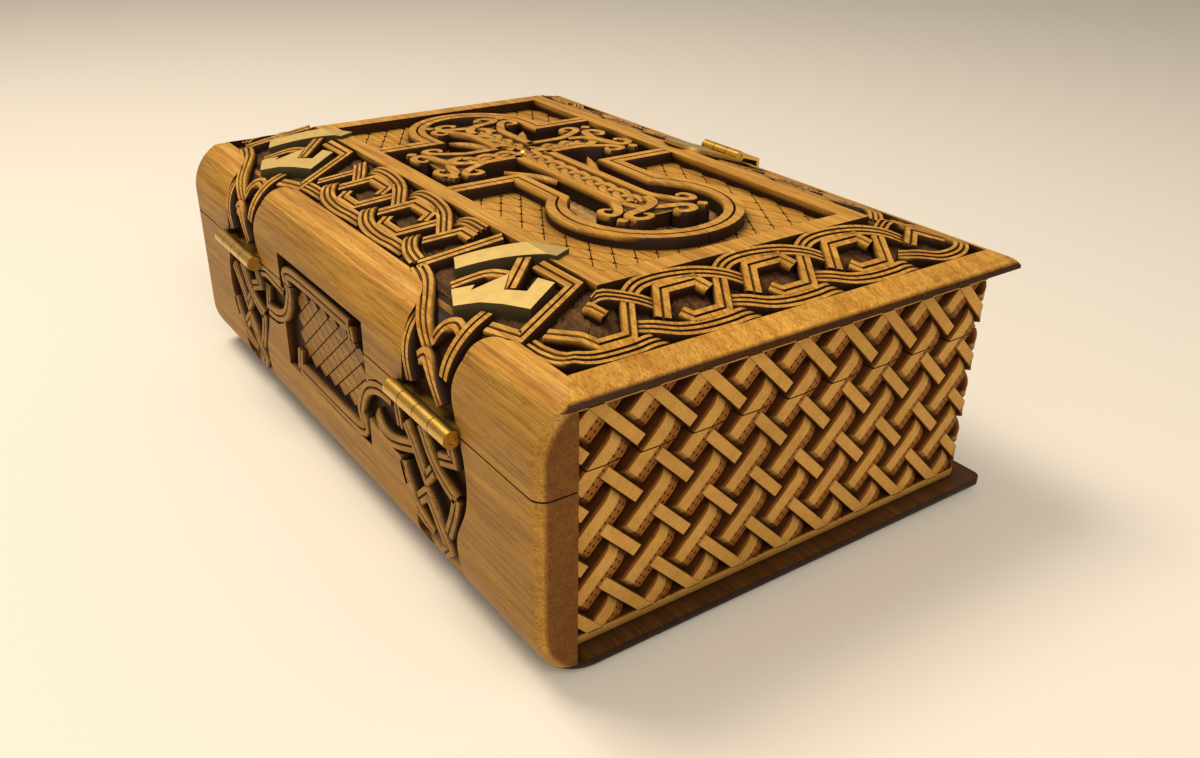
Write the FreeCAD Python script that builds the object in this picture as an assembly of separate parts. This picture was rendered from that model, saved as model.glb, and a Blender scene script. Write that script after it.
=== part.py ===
"""A carved wooden box in the form of a book lying on its back cover.

Millimetres. The origin is at the middle of the footprint, on the surface the box rests on.
+X runs from the spine to the fore edge, +Y from the tail to the head, +Z up.
"""
import FreeCAD, Part
import math
import os

Vector = FreeCAD.Vector

# Boards and spine
board_length = 250.0
board_width = 170.0
cover_top_z = 90.0
cover_thickness = 12.5
lid_depth = 21.0
back_thickness = 5.0
board_overhang = 6.0
spine_thickness = 11.0
spine_round = 18.0
rim_round = 6.0
back_round = 4.0
corner_round = 3.0
seam_width = 0.5
seam_depth = 0.7

# Page-block walls and the weave carved into them, whose bars rise and fall at half a right angle
wall_thickness = 9.0
block_corner_round = 3.0
weave_pitch = 16.4
weave_row = 16.4
weave_depth = 4.5
falling_bar = 3.6
rising_bar = 4.2
bar_shoulder = 2.8
weave_foot = 2.7
weave_head = 4.2
weave_start = 17.0
weave_below_split = 7.4
corner_post_margin = 1.0
stud_pad_margin = 4.0

# Sloping border and flat frame of the cover
border_width = 33.0
spine_border = 38.5
border_drop = 10.5
frame_width = 6.5
rim_width = 8.5
cushion_width = 13.5
recess_depth = 3.2

# Sunk panel, niche, niche band and cross
panel_depth = 4.0
niche_depth = 7.5
relief_drop = 1.0
band_width = 6.0
bulb_radius = 24.0
foot_margin = 8.5
neck_half = 15.5
arch_radius = 19.0
head_margin = 3.5
crossing_below_arch = 34.0
crossarm_half = 23.0
arm_half = 6.5
flare_half = 10.5
flare_length = 15.0
volute_radius = 4.6
volute_spread = 9.5
cross_head_reach = 46.0
cross_foot_reach = 82.0
cross_side_reach = 39.0

# Strap ornament on cover and spine
strap_from_end = 54.0
# Edges of the recess: distance from the strap's middle towards the head, and down from the frame's edge
strap_tail_upper = [(-23.0, 25.0), (-22.5, 26.6), (-18.5, 28.0), (-14.5, 31.2), (-13.8, 38.0)]
strap_head_upper = [(35.5, 25.0), (33.5, 26.6), (25.0, 27.6), (18.7, 31.0), (16.4, 38.0)]
strap_tail_lower = [
    (-13.8, 38.0), (-13.5, 46.0), (-17.0, 58.0), (-19.8, 71.0), (-18.0, 81.0), (-12.8, 93.5),
    (-14.0, 100.0), (-9.0, 108.0),
]
strap_head_lower = [
    (16.4, 38.0), (14.2, 48.0), (15.5, 58.0), (20.0, 71.0), (19.5, 83.0), (11.0, 96.0), (12.0, 102.0),
    (5.0, 108.0),
]
inlay_rise = 1.2
arc_width = 6.5
# Points as distances from the frame's edge towards the spine, and from the strap's middle towards the head
arc_spine_end = (17.5, 21.5)
arc_middle = (8.0, 15.5)
arc_frame_end = (-4.0, 0.5)
zigzag_outline = [
    (8.0, -6.0), (6.7, -12.0), (16.8, -16.5), (19.8, -8.2), (23.0, -2.0), (28.0, 3.0),
    (24.5, 10.5), (19.6, 6.6), (21.6, 5.2), (11.4, 2.8), (16.2, -2.6), (13.0, -8.8),
]

# Framed panel on the spine
spine_panel_half = 33.2
spine_panel_centre_y = 2.0
spine_panel_above_split = 9.8
spine_panel_below_split = 30.7
spine_panel_depth = 3.0
# Loop that ties the panel to the tail strap: distances from the panel's middle towards the head and up
loop_below_split = 12.0
loop_outline = [
    (-54.0, 8.0), (-48.0, 7.5), (-40.5, 6.8), (-35.0, 4.5), (-32.0, 1.0), (-32.0, -9.0), (-36.0, -9.5),
    (-42.0, -11.0), (-48.5, -11.8), (-55.0, -12.0),
]

# Brass hinges
hinge_length = 35.0
hinge_offset = 2.2
barrel_radius = 2.5
knuckle_count = 4
knuckle_gap = 0.3
pin_radius = 1.2
running_clearance = 0.05
pin_end_inset = 0.4
leaf_thickness = 1.0
leaf_reach = 11.5
fit_clearance = 0.1
swing_clearance = 0.4
screw_radius = 0.9
screw_head_radius = 1.7
screw_head_depth = 0.7
screw_length = 8.0
screw_spacing = 20.0

# Clasp on the fore edge
clasp_length = 20.0
clasp_leaf_overlap = 2.5
clasp_leaf_reach = 21.0
clasp_leaf_thickness = 1.2
clasp_barrel_radius = 1.9
clasp_pin_radius = 0.9
clasp_knuckle_count = 3
clasp_pad_margin = 1.0
clasp_screw_start = 5.0
clasp_screw_pitch = 9.0
clasp_screw_spacing = 11.0
hasp_half_width = 6.0
hasp_rim_gap = 1.6
hasp_below_split = 13.5
stud_radius = 2.2
stud_below_split = 8.5
stud_gap = 0.35
stud_flange_radius = 4.5
stud_flange_thickness = 1.5

# Stud at the crossing
cross_stud_radius = 2.2
cross_stud_rise = 1.4

# Values worked out from the sizes above
half_w = board_width / 2
half_l = board_length / 2
cover_under_z = cover_top_z - cover_thickness
split_z = cover_under_z - lid_depth
strap_offset = half_l - strap_from_end
hasp_foot_z = split_z - hasp_below_split
stud_z = split_z - stud_below_split
slope = border_drop / border_width
slope_angle = math.atan(slope)
frame_fore_x = half_w - border_width
frame_spine_x = -half_w + spine_border
frame_half_y = half_l - border_width
panel_fore_x = frame_fore_x - frame_width
panel_spine_x = frame_spine_x + frame_width
panel_half_y = frame_half_y - frame_width
panel_x = (panel_fore_x + panel_spine_x) / 2
chain_spine_x = -half_w + cushion_width
spine_inner_x = -half_w + spine_thickness
block_fore_x = half_w - board_overhang
block_half_y = half_l - board_overhang
tail_run = block_fore_x - spine_inner_x - block_corner_round
corner_run = block_corner_round * math.pi / 2
fore_start = tail_run + corner_run
head_start = fore_start + 2 * (block_half_y - block_corner_round) + corner_run
whole_run = head_start + tail_run
weave_columns = round(whole_run / weave_pitch)
weave_step = whole_run / weave_columns
bulb_y = -panel_half_y + foot_margin + band_width + bulb_radius
arch_y = panel_half_y - head_margin - band_width - arch_radius
crossing_y = arch_y - crossing_below_arch
hinge_x = -half_w - hinge_offset
far = 2 * (board_length + board_width)
margin = 5.0
same_point = 1e-6


def box(x0, x1, y0, y1, z0, z1):
    return Part.makeBox(x1 - x0, y1 - y0, z1 - z0, Vector(x0, y0, z0))


def cylinder(radius, start, axis, length):
    return Part.makeCylinder(radius, length, start, axis)


def prism(points, z0, z1):
    """Upright prism on a closed plan outline."""
    corners = [Vector(x, y, z0) for x, y in points]
    face = Part.Face(Part.makePolygon(corners + corners[:1]))
    return face.extrude(Vector(0, 0, z1 - z0))


def union(shapes):
    if len(shapes) == 1:
        return shapes[0]
    return shapes[0].multiFuse(shapes[1:]).removeSplitter()


def line(p, q):
    return Part.LineSegment(p, q).toShape()


def arc(place, centre, radius, start, end):
    """Arc in a section plane; place turns section (a, z) into a point, angles in degrees."""
    def point(angle):
        turn = math.radians(angle)
        return place(centre[0] + radius * math.cos(turn), centre[1] + radius * math.sin(turn))
    return Part.Arc(point(start), point((start + end) / 2), point(end)).toShape()


def closed_face(edges):
    """Face on edges given in order, with straight joins between their ends."""
    chain = []
    for index, edge in enumerate(edges):
        chain.append(edge)
        gap_start = edge.valueAt(edge.LastParameter)
        following = edges[(index + 1) % len(edges)]
        gap_end = following.valueAt(following.FirstParameter)
        if gap_start.distanceToPoint(gap_end) > same_point:
            chain.append(line(gap_start, gap_end))
    return Part.Face(Part.Wire(chain))


def slope_round(edge, frame_edge, radius):
    """Centre of a round between a vertical edge face and the border's slope."""
    a = edge - radius
    return a, cover_top_z - (a - frame_edge) * slope - radius / math.cos(slope_angle)


def flat_end(frame_edge, inset):
    """Where the inset flat top meets the inset slope."""
    return frame_edge - inset * (1 / math.cos(slope_angle) - 1) / slope


def section_across(inset):
    """Outline in X and Z of the whole book form, moved inwards by inset."""
    def place(x, z):
        return Vector(x, 0, z)
    tilt = math.degrees(slope_angle)
    rim = slope_round(half_w, frame_fore_x, rim_round)
    back = slope_round(half_w, -frame_spine_x, spine_round)
    spine_top = (-back[0], back[1])
    spine_foot = (-half_w + spine_round, spine_round)
    top = cover_top_z - inset
    edges = [
        arc(place, rim, rim_round - inset, 0, 90 - tilt),
        line(place(flat_end(frame_fore_x, inset), top), place(-flat_end(-frame_spine_x, inset), top)),
        arc(place, spine_top, spine_round - inset, 90 + tilt, 180),
        arc(place, spine_foot, spine_round - inset, 180, 270),
    ]
    if inset < back_round:
        edges.append(arc(place, (half_w - back_round, back_round), back_round - inset, 270, 360))
    else:
        edges.append(line(place(0, inset), place(half_w - inset, inset)))
    return closed_face(edges)


def section_along(inset):
    """Outline in Y and Z of the whole book form, moved inwards by inset."""
    def place(y, z):
        return Vector(0, y, z)
    tilt = math.degrees(slope_angle)
    rim = slope_round(half_l, frame_half_y, rim_round)
    top = cover_top_z - inset
    flat = flat_end(frame_half_y, inset)
    edges = [
        arc(place, rim, rim_round - inset, 0, 90 - tilt),
        line(place(flat, top), place(-flat, top)),
        arc(place, (-rim[0], rim[1]), rim_round - inset, 90 + tilt, 180),
    ]
    foot = half_l - back_round
    if inset < back_round:
        edges.append(arc(place, (-foot, back_round), back_round - inset, 180, 270))
        edges.append(arc(place, (foot, back_round), back_round - inset, 270, 360))
    else:
        edges.append(line(place(-half_l + inset, inset), place(half_l - inset, inset)))
    return closed_face(edges)


def round_spine_ends(block, radius):
    """Round the end edges of the spine half of a block that has the board's whole length."""
    spine_half = block.common(box(-far, 0, -far, far, -far, far))
    fore_half = block.common(box(0, far, -far, far, -far, far))
    edges = []
    for edge in spine_half.Edges:
        points = [vertex.Point for vertex in edge.Vertexes]
        at_end = all(abs(abs(p.y) - half_l) < same_point for p in points)
        crosswise = abs(points[0].y - points[-1].y) < same_point
        on_cut = all(abs(p.x) < same_point for p in points)
        if at_end and crosswise and not on_cut:
            edges.append(edge)
    return spine_half.makeFillet(radius, edges).fuse(fore_half)


def book_form(inset, end_round=0.0):
    """The book's outer form as one block: hipped cover, rounded spine, flat back."""
    across = section_across(inset).extrude(Vector(0, board_length, 0))
    across.translate(Vector(0, -half_l, 0))
    if end_round:
        across = round_spine_ends(across, end_round)
    along = section_along(inset).extrude(Vector(board_width, 0, 0))
    along.translate(Vector(-half_w, 0, 0))
    return across.common(along)


def rounded_plan():
    plan = box(-half_w, half_w, -half_l, half_l, 0, cover_top_z + margin)
    upright = [e for e in plan.Edges if abs(e.tangentAt(e.FirstParameter).z) > 0.5]
    return plan.makeFillet(corner_round, upright)


def spine_floor(depth):
    """Solid under a recess that follows the cover's slope and the spine, and runs out at its foot."""
    floor = section_across(depth).extrude(Vector(0, board_length, 0))
    floor.translate(Vector(0, -half_l, 0))
    foot = box(-half_w + depth, 0, -half_l, half_l, 0, spine_round)
    return floor.fuse(foot)


def spine_point(down):
    """Point in X and Z of the book form, at a distance from the frame's edge down over the spine."""
    centre_a, centre_z = slope_round(half_w, -frame_spine_x, spine_round)
    slope_length = (centre_a + spine_round * math.sin(slope_angle) + frame_spine_x) / math.cos(slope_angle)
    if down <= slope_length:
        return frame_spine_x - down * math.cos(slope_angle), cover_top_z - down * math.sin(slope_angle)
    turn = slope_angle + (down - slope_length) / spine_round
    if turn <= math.pi / 2:
        return -centre_a - spine_round * math.sin(turn), centre_z + spine_round * math.cos(turn)
    z = centre_z - (turn - math.pi / 2) * spine_round
    if z >= spine_round:
        return -half_w, z
    turn = (spine_round - z) / spine_round
    return -half_w + spine_round * (1 - math.cos(turn)), spine_round * (1 - math.sin(turn))


def smooth(points):
    curve = Part.BSplineCurve()
    curve.interpolate(points)
    return curve.toShape()


def niche_outline(grow):
    """Cross-shaped niche with a round foot and an arched head, grown by grow."""
    low = cover_under_z
    high = cover_top_z + margin
    up = Vector(0, 0, 1)
    shapes = [
        cylinder(bulb_radius + grow, Vector(panel_x, bulb_y, low), up, high - low),
        box(panel_x - neck_half - grow, panel_x + neck_half + grow, bulb_y, crossing_y, low, high),
        box(panel_spine_x, panel_fore_x,
            crossing_y - crossarm_half - grow, crossing_y + crossarm_half + grow, low, high),
        box(panel_x - arch_radius - grow, panel_x + arch_radius + grow, crossing_y, arch_y, low, high),
        cylinder(arch_radius + grow, Vector(panel_x, arch_y, low), up, high - low),
    ]
    panel = box(panel_spine_x, panel_fore_x, -panel_half_y, panel_half_y, low, high)
    return union(shapes).common(panel)


def cross_arm(angle, reach):
    """One arm of the cross along angle: a straight bar, a flare and a pair of volutes."""
    low = cover_under_z
    high = cover_top_z + margin
    neck = reach - flare_length
    bar_outline = [(-arm_half, -arm_half), (neck, -arm_half), (neck, arm_half), (-arm_half, arm_half)]
    bar = prism(bar_outline, low, high)
    tip = reach - volute_radius
    flare = prism([(neck, -arm_half), (tip, -flare_half), (tip, flare_half), (neck, arm_half)], low, high)
    shapes = [bar, flare]
    for side in (-1, 1):
        place = Vector(tip, side * volute_spread, low)
        shapes.append(cylinder(volute_radius, place, Vector(0, 0, 1), high - low))
    arm = union(shapes)
    arm.rotate(Vector(0, 0, 0), Vector(0, 0, 1), angle)
    arm.translate(Vector(panel_x, crossing_y, 0))
    return arm


def cross_outline():
    arms = [(90, cross_head_reach), (270, cross_foot_reach), (0, cross_side_reach), (180, cross_side_reach)]
    return union([cross_arm(angle, reach) for angle, reach in arms])


def above(shape, depth):
    """The part of an upright shape that lies higher than depth below the flat top."""
    return shape.common(box(-half_w, half_w, -half_l, half_l, cover_top_z - depth, cover_top_z + margin))


def panel_cuts():
    """What the carver takes out of the sunk panel."""
    low = cover_under_z
    high = cover_top_z + margin
    panel = box(panel_spine_x, panel_fore_x, -panel_half_y, panel_half_y, low, high)
    outer = niche_outline(band_width)
    inner = niche_outline(0)
    cross = cross_outline()
    ground = above(panel.cut(outer), panel_depth)
    niche = above(inner.cut(cross), niche_depth)
    crown = above(outer.cut(inner).fuse(cross), relief_drop)
    return [ground, niche, crown]


def chain_cut():
    """Sunk border round the frame that holds the interlaced chain."""
    low = cover_under_z
    high = cover_top_z + margin
    ring = box(chain_spine_x, half_w - rim_width, -half_l + rim_width, half_l - rim_width, low, high)
    frame = box(frame_spine_x, frame_fore_x, -frame_half_y, frame_half_y, low, high)
    pad_half = clasp_length / 2 + clasp_pad_margin
    clasp_pad = box(frame_fore_x, half_w, -pad_half, pad_half, low, high)
    return ring.cut([frame, clasp_pad, book_form(recess_depth)])


def strap_cut(centre_y):
    """Sunk strap that runs from the border over the spine to its foot, with waving edges."""
    def plan(edge):
        return smooth([Vector(spine_point(down)[0], centre_y + along, split_z) for along, down in edge])

    def face(edge):
        front_x = -half_w - margin
        return smooth([Vector(front_x, centre_y + along, spine_point(down)[1]) for along, down in edge])
    upper = closed_face([plan(strap_tail_upper), plan(strap_head_upper[::-1])])
    upper = upper.extrude(Vector(0, 0, cover_top_z + margin - split_z))
    lower = closed_face([face(strap_tail_lower), face(strap_head_lower[::-1])])
    lower = lower.extrude(Vector(margin + cushion_width, 0, 0))
    return upper.fuse(lower).cut(spine_floor(recess_depth))


def spine_panel_cut():
    return box(-half_w - margin, -half_w + spine_panel_depth,
               spine_panel_centre_y - spine_panel_half, spine_panel_centre_y + spine_panel_half,
               split_z - spine_panel_below_split, split_z + spine_panel_above_split)


def loop_cut(turn):
    """Sunk loop between the panel and a strap; turn is 1 for the tail strap and -1 for the head strap."""
    middle_z = split_z - loop_below_split
    corners = [Vector(-half_w - margin, spine_panel_centre_y + turn * along, middle_z + turn * up)
               for along, up in loop_outline]
    face = Part.Face(Part.makePolygon(corners + corners[:1]))
    return face.extrude(Vector(margin + recess_depth, 0, 0))


def seam_groove(carved):
    """Fine groove along the split, let in from the outside of the spine and its recesses."""
    low = split_z - seam_width / 2
    slab = carved.common(box(-far, spine_inner_x, -far, far, low, low + seam_width))
    core = slab.copy()
    core.translate(Vector(seam_depth, 0, 0))
    core = core.common(moved(slab, seam_depth)).common(moved(slab, -seam_depth))
    return slab.cut(core)


def arc_inlay_plan(centre_y):
    """Curved brass strip from the border up on to the frame."""
    marks = [Vector(frame_spine_x - out, centre_y + along, cover_under_z)
             for out, along in (arc_spine_end, arc_middle, arc_frame_end)]
    path = Part.Arc(*marks).toShape().Curve
    centre = path.Center
    start, end = [math.atan2(mark.y - centre.y, mark.x - centre.x) for mark in (marks[0], marks[2])]
    middle_angle = (start + end) / 2

    def rim(radius):
        points = []
        for angle in (start, middle_angle, end):
            points.append(Vector(centre.x + radius * math.cos(angle), centre.y + radius * math.sin(angle),
                                 cover_under_z))
        return Part.Arc(*points).toShape()
    outer = rim(path.Radius + arc_width / 2)
    inner = rim(path.Radius - arc_width / 2)
    ends = [(edge.valueAt(edge.FirstParameter), edge.valueAt(edge.LastParameter)) for edge in (outer, inner)]
    wire = Part.Wire([outer, line(ends[0][1], ends[1][1]), inner.reversed(), line(ends[1][0], ends[0][0])])
    return Part.Face(wire).extrude(Vector(0, 0, cover_top_z + margin - cover_under_z))


def zigzag_inlay_plan(centre_y):
    """Brass band with two teeth, beside the arc."""
    points = [(frame_spine_x - out, centre_y + along) for out, along in zigzag_outline]
    return prism(points, cover_under_z, cover_top_z + margin)


def inlay(plan, floor, skin):
    """A brass piece that stands on the recess floor and rises a little over the surface."""
    return plan.common(skin).cut(floor)


def leaf_plate(z_low, z_high):
    return box(hinge_x, hinge_x + leaf_reach, -hinge_length / 2, hinge_length / 2, z_low, z_high)


def knuckle_spans(length, count):
    step = length / count
    return [(-length / 2 + i * step + knuckle_gap / 2, -length / 2 + (i + 1) * step - knuckle_gap / 2)
            for i in range(count)]


def hinge_leaf(upper):
    """Leaf and knuckles of one hinge half, at the middle of the spine; upper is 1 or 0."""
    z_low = split_z if upper else split_z - leaf_thickness
    plate = leaf_plate(z_low, z_low + leaf_thickness)
    along = Vector(0, 1, 0)
    axis_start = Vector(hinge_x, -hinge_length, split_z)
    knuckles = []
    for index, (y0, y1) in enumerate(knuckle_spans(hinge_length, knuckle_count)):
        own = index % 2 == upper
        if own:
            knuckles.append(cylinder(barrel_radius, Vector(hinge_x, y0, split_z), along, y1 - y0))
        else:
            room = barrel_radius + swing_clearance
            plate = plate.cut(cylinder(room, Vector(hinge_x, y0 - knuckle_gap, split_z), along,
                                       y1 - y0 + 2 * knuckle_gap))
    leaf = union([plate] + knuckles)
    leaf = leaf.cut(cylinder(pin_radius + running_clearance, axis_start, along, 2 * hinge_length))
    return leaf.cut(leaf_screws(upper, 0.0))


def screw(start, axis, clearance):
    """Small countersunk brass screw, grown by clearance."""
    shank_radius = screw_radius + clearance
    head = Part.makeCone(screw_head_radius + clearance, shank_radius, screw_head_depth, start, axis)
    shank = cylinder(shank_radius, start, axis, screw_length + clearance)
    return head.fuse(shank)


def leaf_screws(upper, clearance):
    """The two screws of one hinge leaf, at the middle of the spine."""
    axis = Vector(0, 0, 1 if upper else -1)
    middle_x = (-half_w + recess_depth + spine_inner_x) / 2
    return [screw(Vector(middle_x, side * screw_spacing / 2, split_z), axis, clearance) for side in (-1, 1)]


def moved(shape, y):
    copy = shape.copy()
    copy.translate(Vector(0, y, 0))
    return copy


def slope_frame(shape):
    """Lay a shape drawn on the level at the frame's fore edge down along the fore-edge slope."""
    shape.rotate(Vector(0, 0, 0), Vector(0, 1, 0), math.degrees(slope_angle))
    shape.translate(Vector(frame_fore_x, 0, cover_top_z))
    return shape


clasp_axis_u = clasp_leaf_reach + clasp_barrel_radius
clasp_axis_n = clasp_barrel_radius + fit_clearance
clasp_axis = (frame_fore_x + clasp_axis_u * math.cos(slope_angle) + clasp_axis_n * math.sin(slope_angle),
              cover_top_z - clasp_axis_u * math.sin(slope_angle) + clasp_axis_n * math.cos(slope_angle))


def clasp_barrel(own):
    """Knuckles of the clasp, drawn on the level: own picks the leaf's (0) or the hasp's (1)."""
    knuckles = []
    along = Vector(0, 1, 0)
    for index, (y0, y1) in enumerate(knuckle_spans(clasp_length, clasp_knuckle_count)):
        if index % 2 == own:
            start = Vector(clasp_axis_u, y0, clasp_axis_n)
            knuckles.append(cylinder(clasp_barrel_radius, start, along, y1 - y0))
    return knuckles


def clasp_room(own):
    """Room that one half of the clasp leaves for the other half's knuckles."""
    rooms = []
    radius = clasp_barrel_radius + swing_clearance
    along = Vector(0, 1, 0)
    for index, (y0, y1) in enumerate(knuckle_spans(clasp_length, clasp_knuckle_count)):
        if index % 2 != own:
            start = Vector(clasp_axis_u, y0 - knuckle_gap, clasp_axis_n)
            rooms.append(cylinder(radius, start, along, y1 - y0 + 2 * knuckle_gap))
    return rooms


def clasp_bore():
    start = Vector(clasp_axis_u, -clasp_length, clasp_axis_n)
    return cylinder(clasp_pin_radius + running_clearance, start, Vector(0, 1, 0), 2 * clasp_length)


def clasp_leaf():
    """Fixed leaf on the border, with a round inner end."""
    half = clasp_length / 2
    start = -clasp_leaf_overlap
    plate = box(start + half, clasp_axis_u, -half, half, 0, clasp_leaf_thickness)
    end = cylinder(half, Vector(start + half, 0, 0), Vector(0, 0, 1), clasp_leaf_thickness)
    leaf = union([plate, end]).cut(union(clasp_room(0)))
    leaf = union([leaf] + clasp_barrel(0)).cut(clasp_bore())
    return slope_frame(leaf.cut(clasp_screws(0.0)))


def clasp_screws(clearance):
    """Screws through the clasp's leaf into the border, drawn on the level."""
    screws = []
    for u in (clasp_screw_start, clasp_screw_start + clasp_screw_pitch):
        for side in (-1, 1):
            start = Vector(u, side * clasp_screw_spacing / 2, clasp_leaf_thickness)
            screws.append(screw(start, Vector(0, 0, -1), clearance))
    return screws


def clasp_hasp():
    """Strap from the barrel over the rim and down the fore edge, with a forked end."""
    rim_x = half_w + hasp_rim_gap
    plate_length = (rim_x + clasp_leaf_thickness - frame_fore_x) / math.cos(slope_angle)
    low = clasp_axis_n - clasp_leaf_thickness / 2
    high = low + clasp_leaf_thickness
    plate = box(clasp_axis_u, plate_length, -hasp_half_width, hasp_half_width, low, high)
    plate = plate.cut(union(clasp_room(1)))
    barrel = union([plate] + clasp_barrel(1)).cut(clasp_bore())
    barrel = slope_frame(barrel)
    barrel = barrel.common(box(-far, rim_x + clasp_leaf_thickness, -far, far, -far, far))
    top_z = cover_top_z - (rim_x - frame_fore_x) * slope + low / math.cos(slope_angle)
    strap = box(rim_x, rim_x + clasp_leaf_thickness, -hasp_half_width, hasp_half_width, hasp_foot_z, top_z)
    slot_half = stud_radius + stud_gap
    slot_end_z = stud_z + 2 * stud_radius - slot_half
    slot = box(rim_x - margin, rim_x + margin, -slot_half, slot_half, hasp_foot_z - margin, slot_end_z)
    slot_end = cylinder(slot_half, Vector(rim_x - margin, 0, slot_end_z), Vector(1, 0, 0), 2 * margin)
    return union([barrel, strap.cut(slot).cut(slot_end)])


def clasp_stud():
    """Round stud in the lower fore-edge wall that the hasp's fork grips."""
    outward = Vector(1, 0, 0)
    inner_x = block_fore_x - wall_thickness / 2
    tip_x = half_w + hinge_offset + barrel_radius
    shank = cylinder(stud_radius, Vector(inner_x, 0, stud_z), outward, tip_x - stud_radius - inner_x)
    dome = Part.makeSphere(stud_radius, Vector(tip_x - stud_radius, 0, stud_z))
    flange = cylinder(stud_flange_radius, Vector(block_fore_x, 0, stud_z), outward, stud_flange_thickness)
    return union([shank, dome, flange])


def cross_stud():
    """Domed brass stud let into the crossing."""
    base_z = cover_top_z - relief_drop
    foot = Vector(panel_x, crossing_y, base_z - panel_depth)
    shank = cylinder(cross_stud_radius / 2, foot, Vector(0, 0, 1), panel_depth)
    curve = (cross_stud_radius ** 2 + cross_stud_rise ** 2) / (2 * cross_stud_rise)
    ball = Part.makeSphere(curve, Vector(panel_x, crossing_y, base_z + cross_stud_rise - curve))
    cap = ball.common(box(-half_w, half_w, -half_l, half_l, base_z, cover_top_z + margin))
    return union([cap, shank])


def on_tail(run, z):
    return Vector(spine_inner_x + run, -block_half_y - margin, z)


def on_fore_edge(run, z):
    return Vector(block_fore_x + margin, -block_half_y + block_corner_round + run - fore_start, z)


def on_head(run, z):
    return Vector(block_fore_x - block_corner_round - run + head_start, block_half_y + margin, z)


def weave_opening(place, inward, run, z):
    """One opening between two falling bars, a rising bar's shoulder and the next rising bar."""
    between = weave_pitch / math.sqrt(2)
    rising_half = (between - falling_bar) / 2 / math.sqrt(2)
    falling_half = (between - rising_bar - bar_shoulder) / 2 / math.sqrt(2)
    shift = bar_shoulder / 2 / math.sqrt(2)
    corners = []
    for rising, falling in ((1, 1), (1, -1), (-1, -1), (-1, 1)):
        corners.append(place(run + shift + rising * rising_half + falling * falling_half,
                             z - shift + rising * rising_half - falling * falling_half))
    face = Part.Face(Part.makePolygon(corners + corners[:1]))
    return face.extrude(inward * (margin + weave_depth))


def weave_openings(place, inward, start, length, field):
    """All the openings on one face of the block that lie within field."""
    middle_z = split_z - weave_below_split
    rows_down = math.ceil((middle_z - back_thickness) / weave_row)
    rows_up = math.ceil((cover_under_z - middle_z) / weave_row)
    stud = Vector(block_fore_x + margin, 0, stud_z)
    shapes = []
    for half_column in range(-2, 2 * weave_columns + 2):
        run = weave_start + weave_step * half_column / 2
        if not start - weave_pitch < run < start + length + weave_pitch:
            continue
        for row in range(-rows_down, rows_up + 1):
            z = middle_z + weave_row * (row if half_column % 2 else row + 0.5)
            if place(run, z).distanceToPoint(stud) > stud_flange_radius + stud_pad_margin:
                shapes.append(weave_opening(place, inward, run, z))
    return Part.makeCompound(shapes).common(field)


def weave_cuts():
    """Openings of the weave on tail, fore edge and head, between corner posts and plain strips."""
    foot_z = back_thickness + weave_foot
    head_z = cover_under_z - weave_head
    post = weave_depth + corner_post_margin
    end_field = box(-far, block_fore_x - post, -far, far, foot_z, head_z)
    fore_field = box(-far, far, -block_half_y + post, block_half_y - post, foot_z, head_z)
    fore_run = head_start - corner_run - fore_start
    return [
        weave_openings(on_tail, Vector(0, 1, 0), 0, tail_run, end_field),
        weave_openings(on_fore_edge, Vector(-1, 0, 0), fore_start, fore_run, fore_field),
        weave_openings(on_head, Vector(0, -1, 0), head_start, tail_run, end_field),
    ]


def end_wall(side, z_low, z_high):
    """Tail (-1) or head (1) wall with its fore-edge corner rounded."""
    inner_y = block_half_y - wall_thickness
    low, high = sorted((side * inner_y, side * block_half_y))
    wall = box(spine_inner_x, block_fore_x, low, high, z_low, z_high)
    corner = [edge for edge in wall.Edges
              if all(abs(v.X - block_fore_x) < same_point and abs(v.Y - side * block_half_y) < same_point
                     for v in edge.Vertexes)]
    return wall.makeFillet(block_corner_round, corner)


def walls(z_low, z_high, openings):
    """Tail, head and fore-edge walls between two heights, with the weave carved in."""
    inner_y = block_half_y - wall_thickness
    inner_x = block_fore_x - wall_thickness
    tail_openings, fore_openings, head_openings = openings
    tail = end_wall(-1, z_low, z_high).cut([tail_openings, fore_openings])
    head = end_wall(1, z_low, z_high).cut([head_openings, fore_openings])
    fore = box(inner_x, block_fore_x, -inner_y, inner_y, z_low, z_high).cut(fore_openings)
    return tail, head, fore


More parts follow.
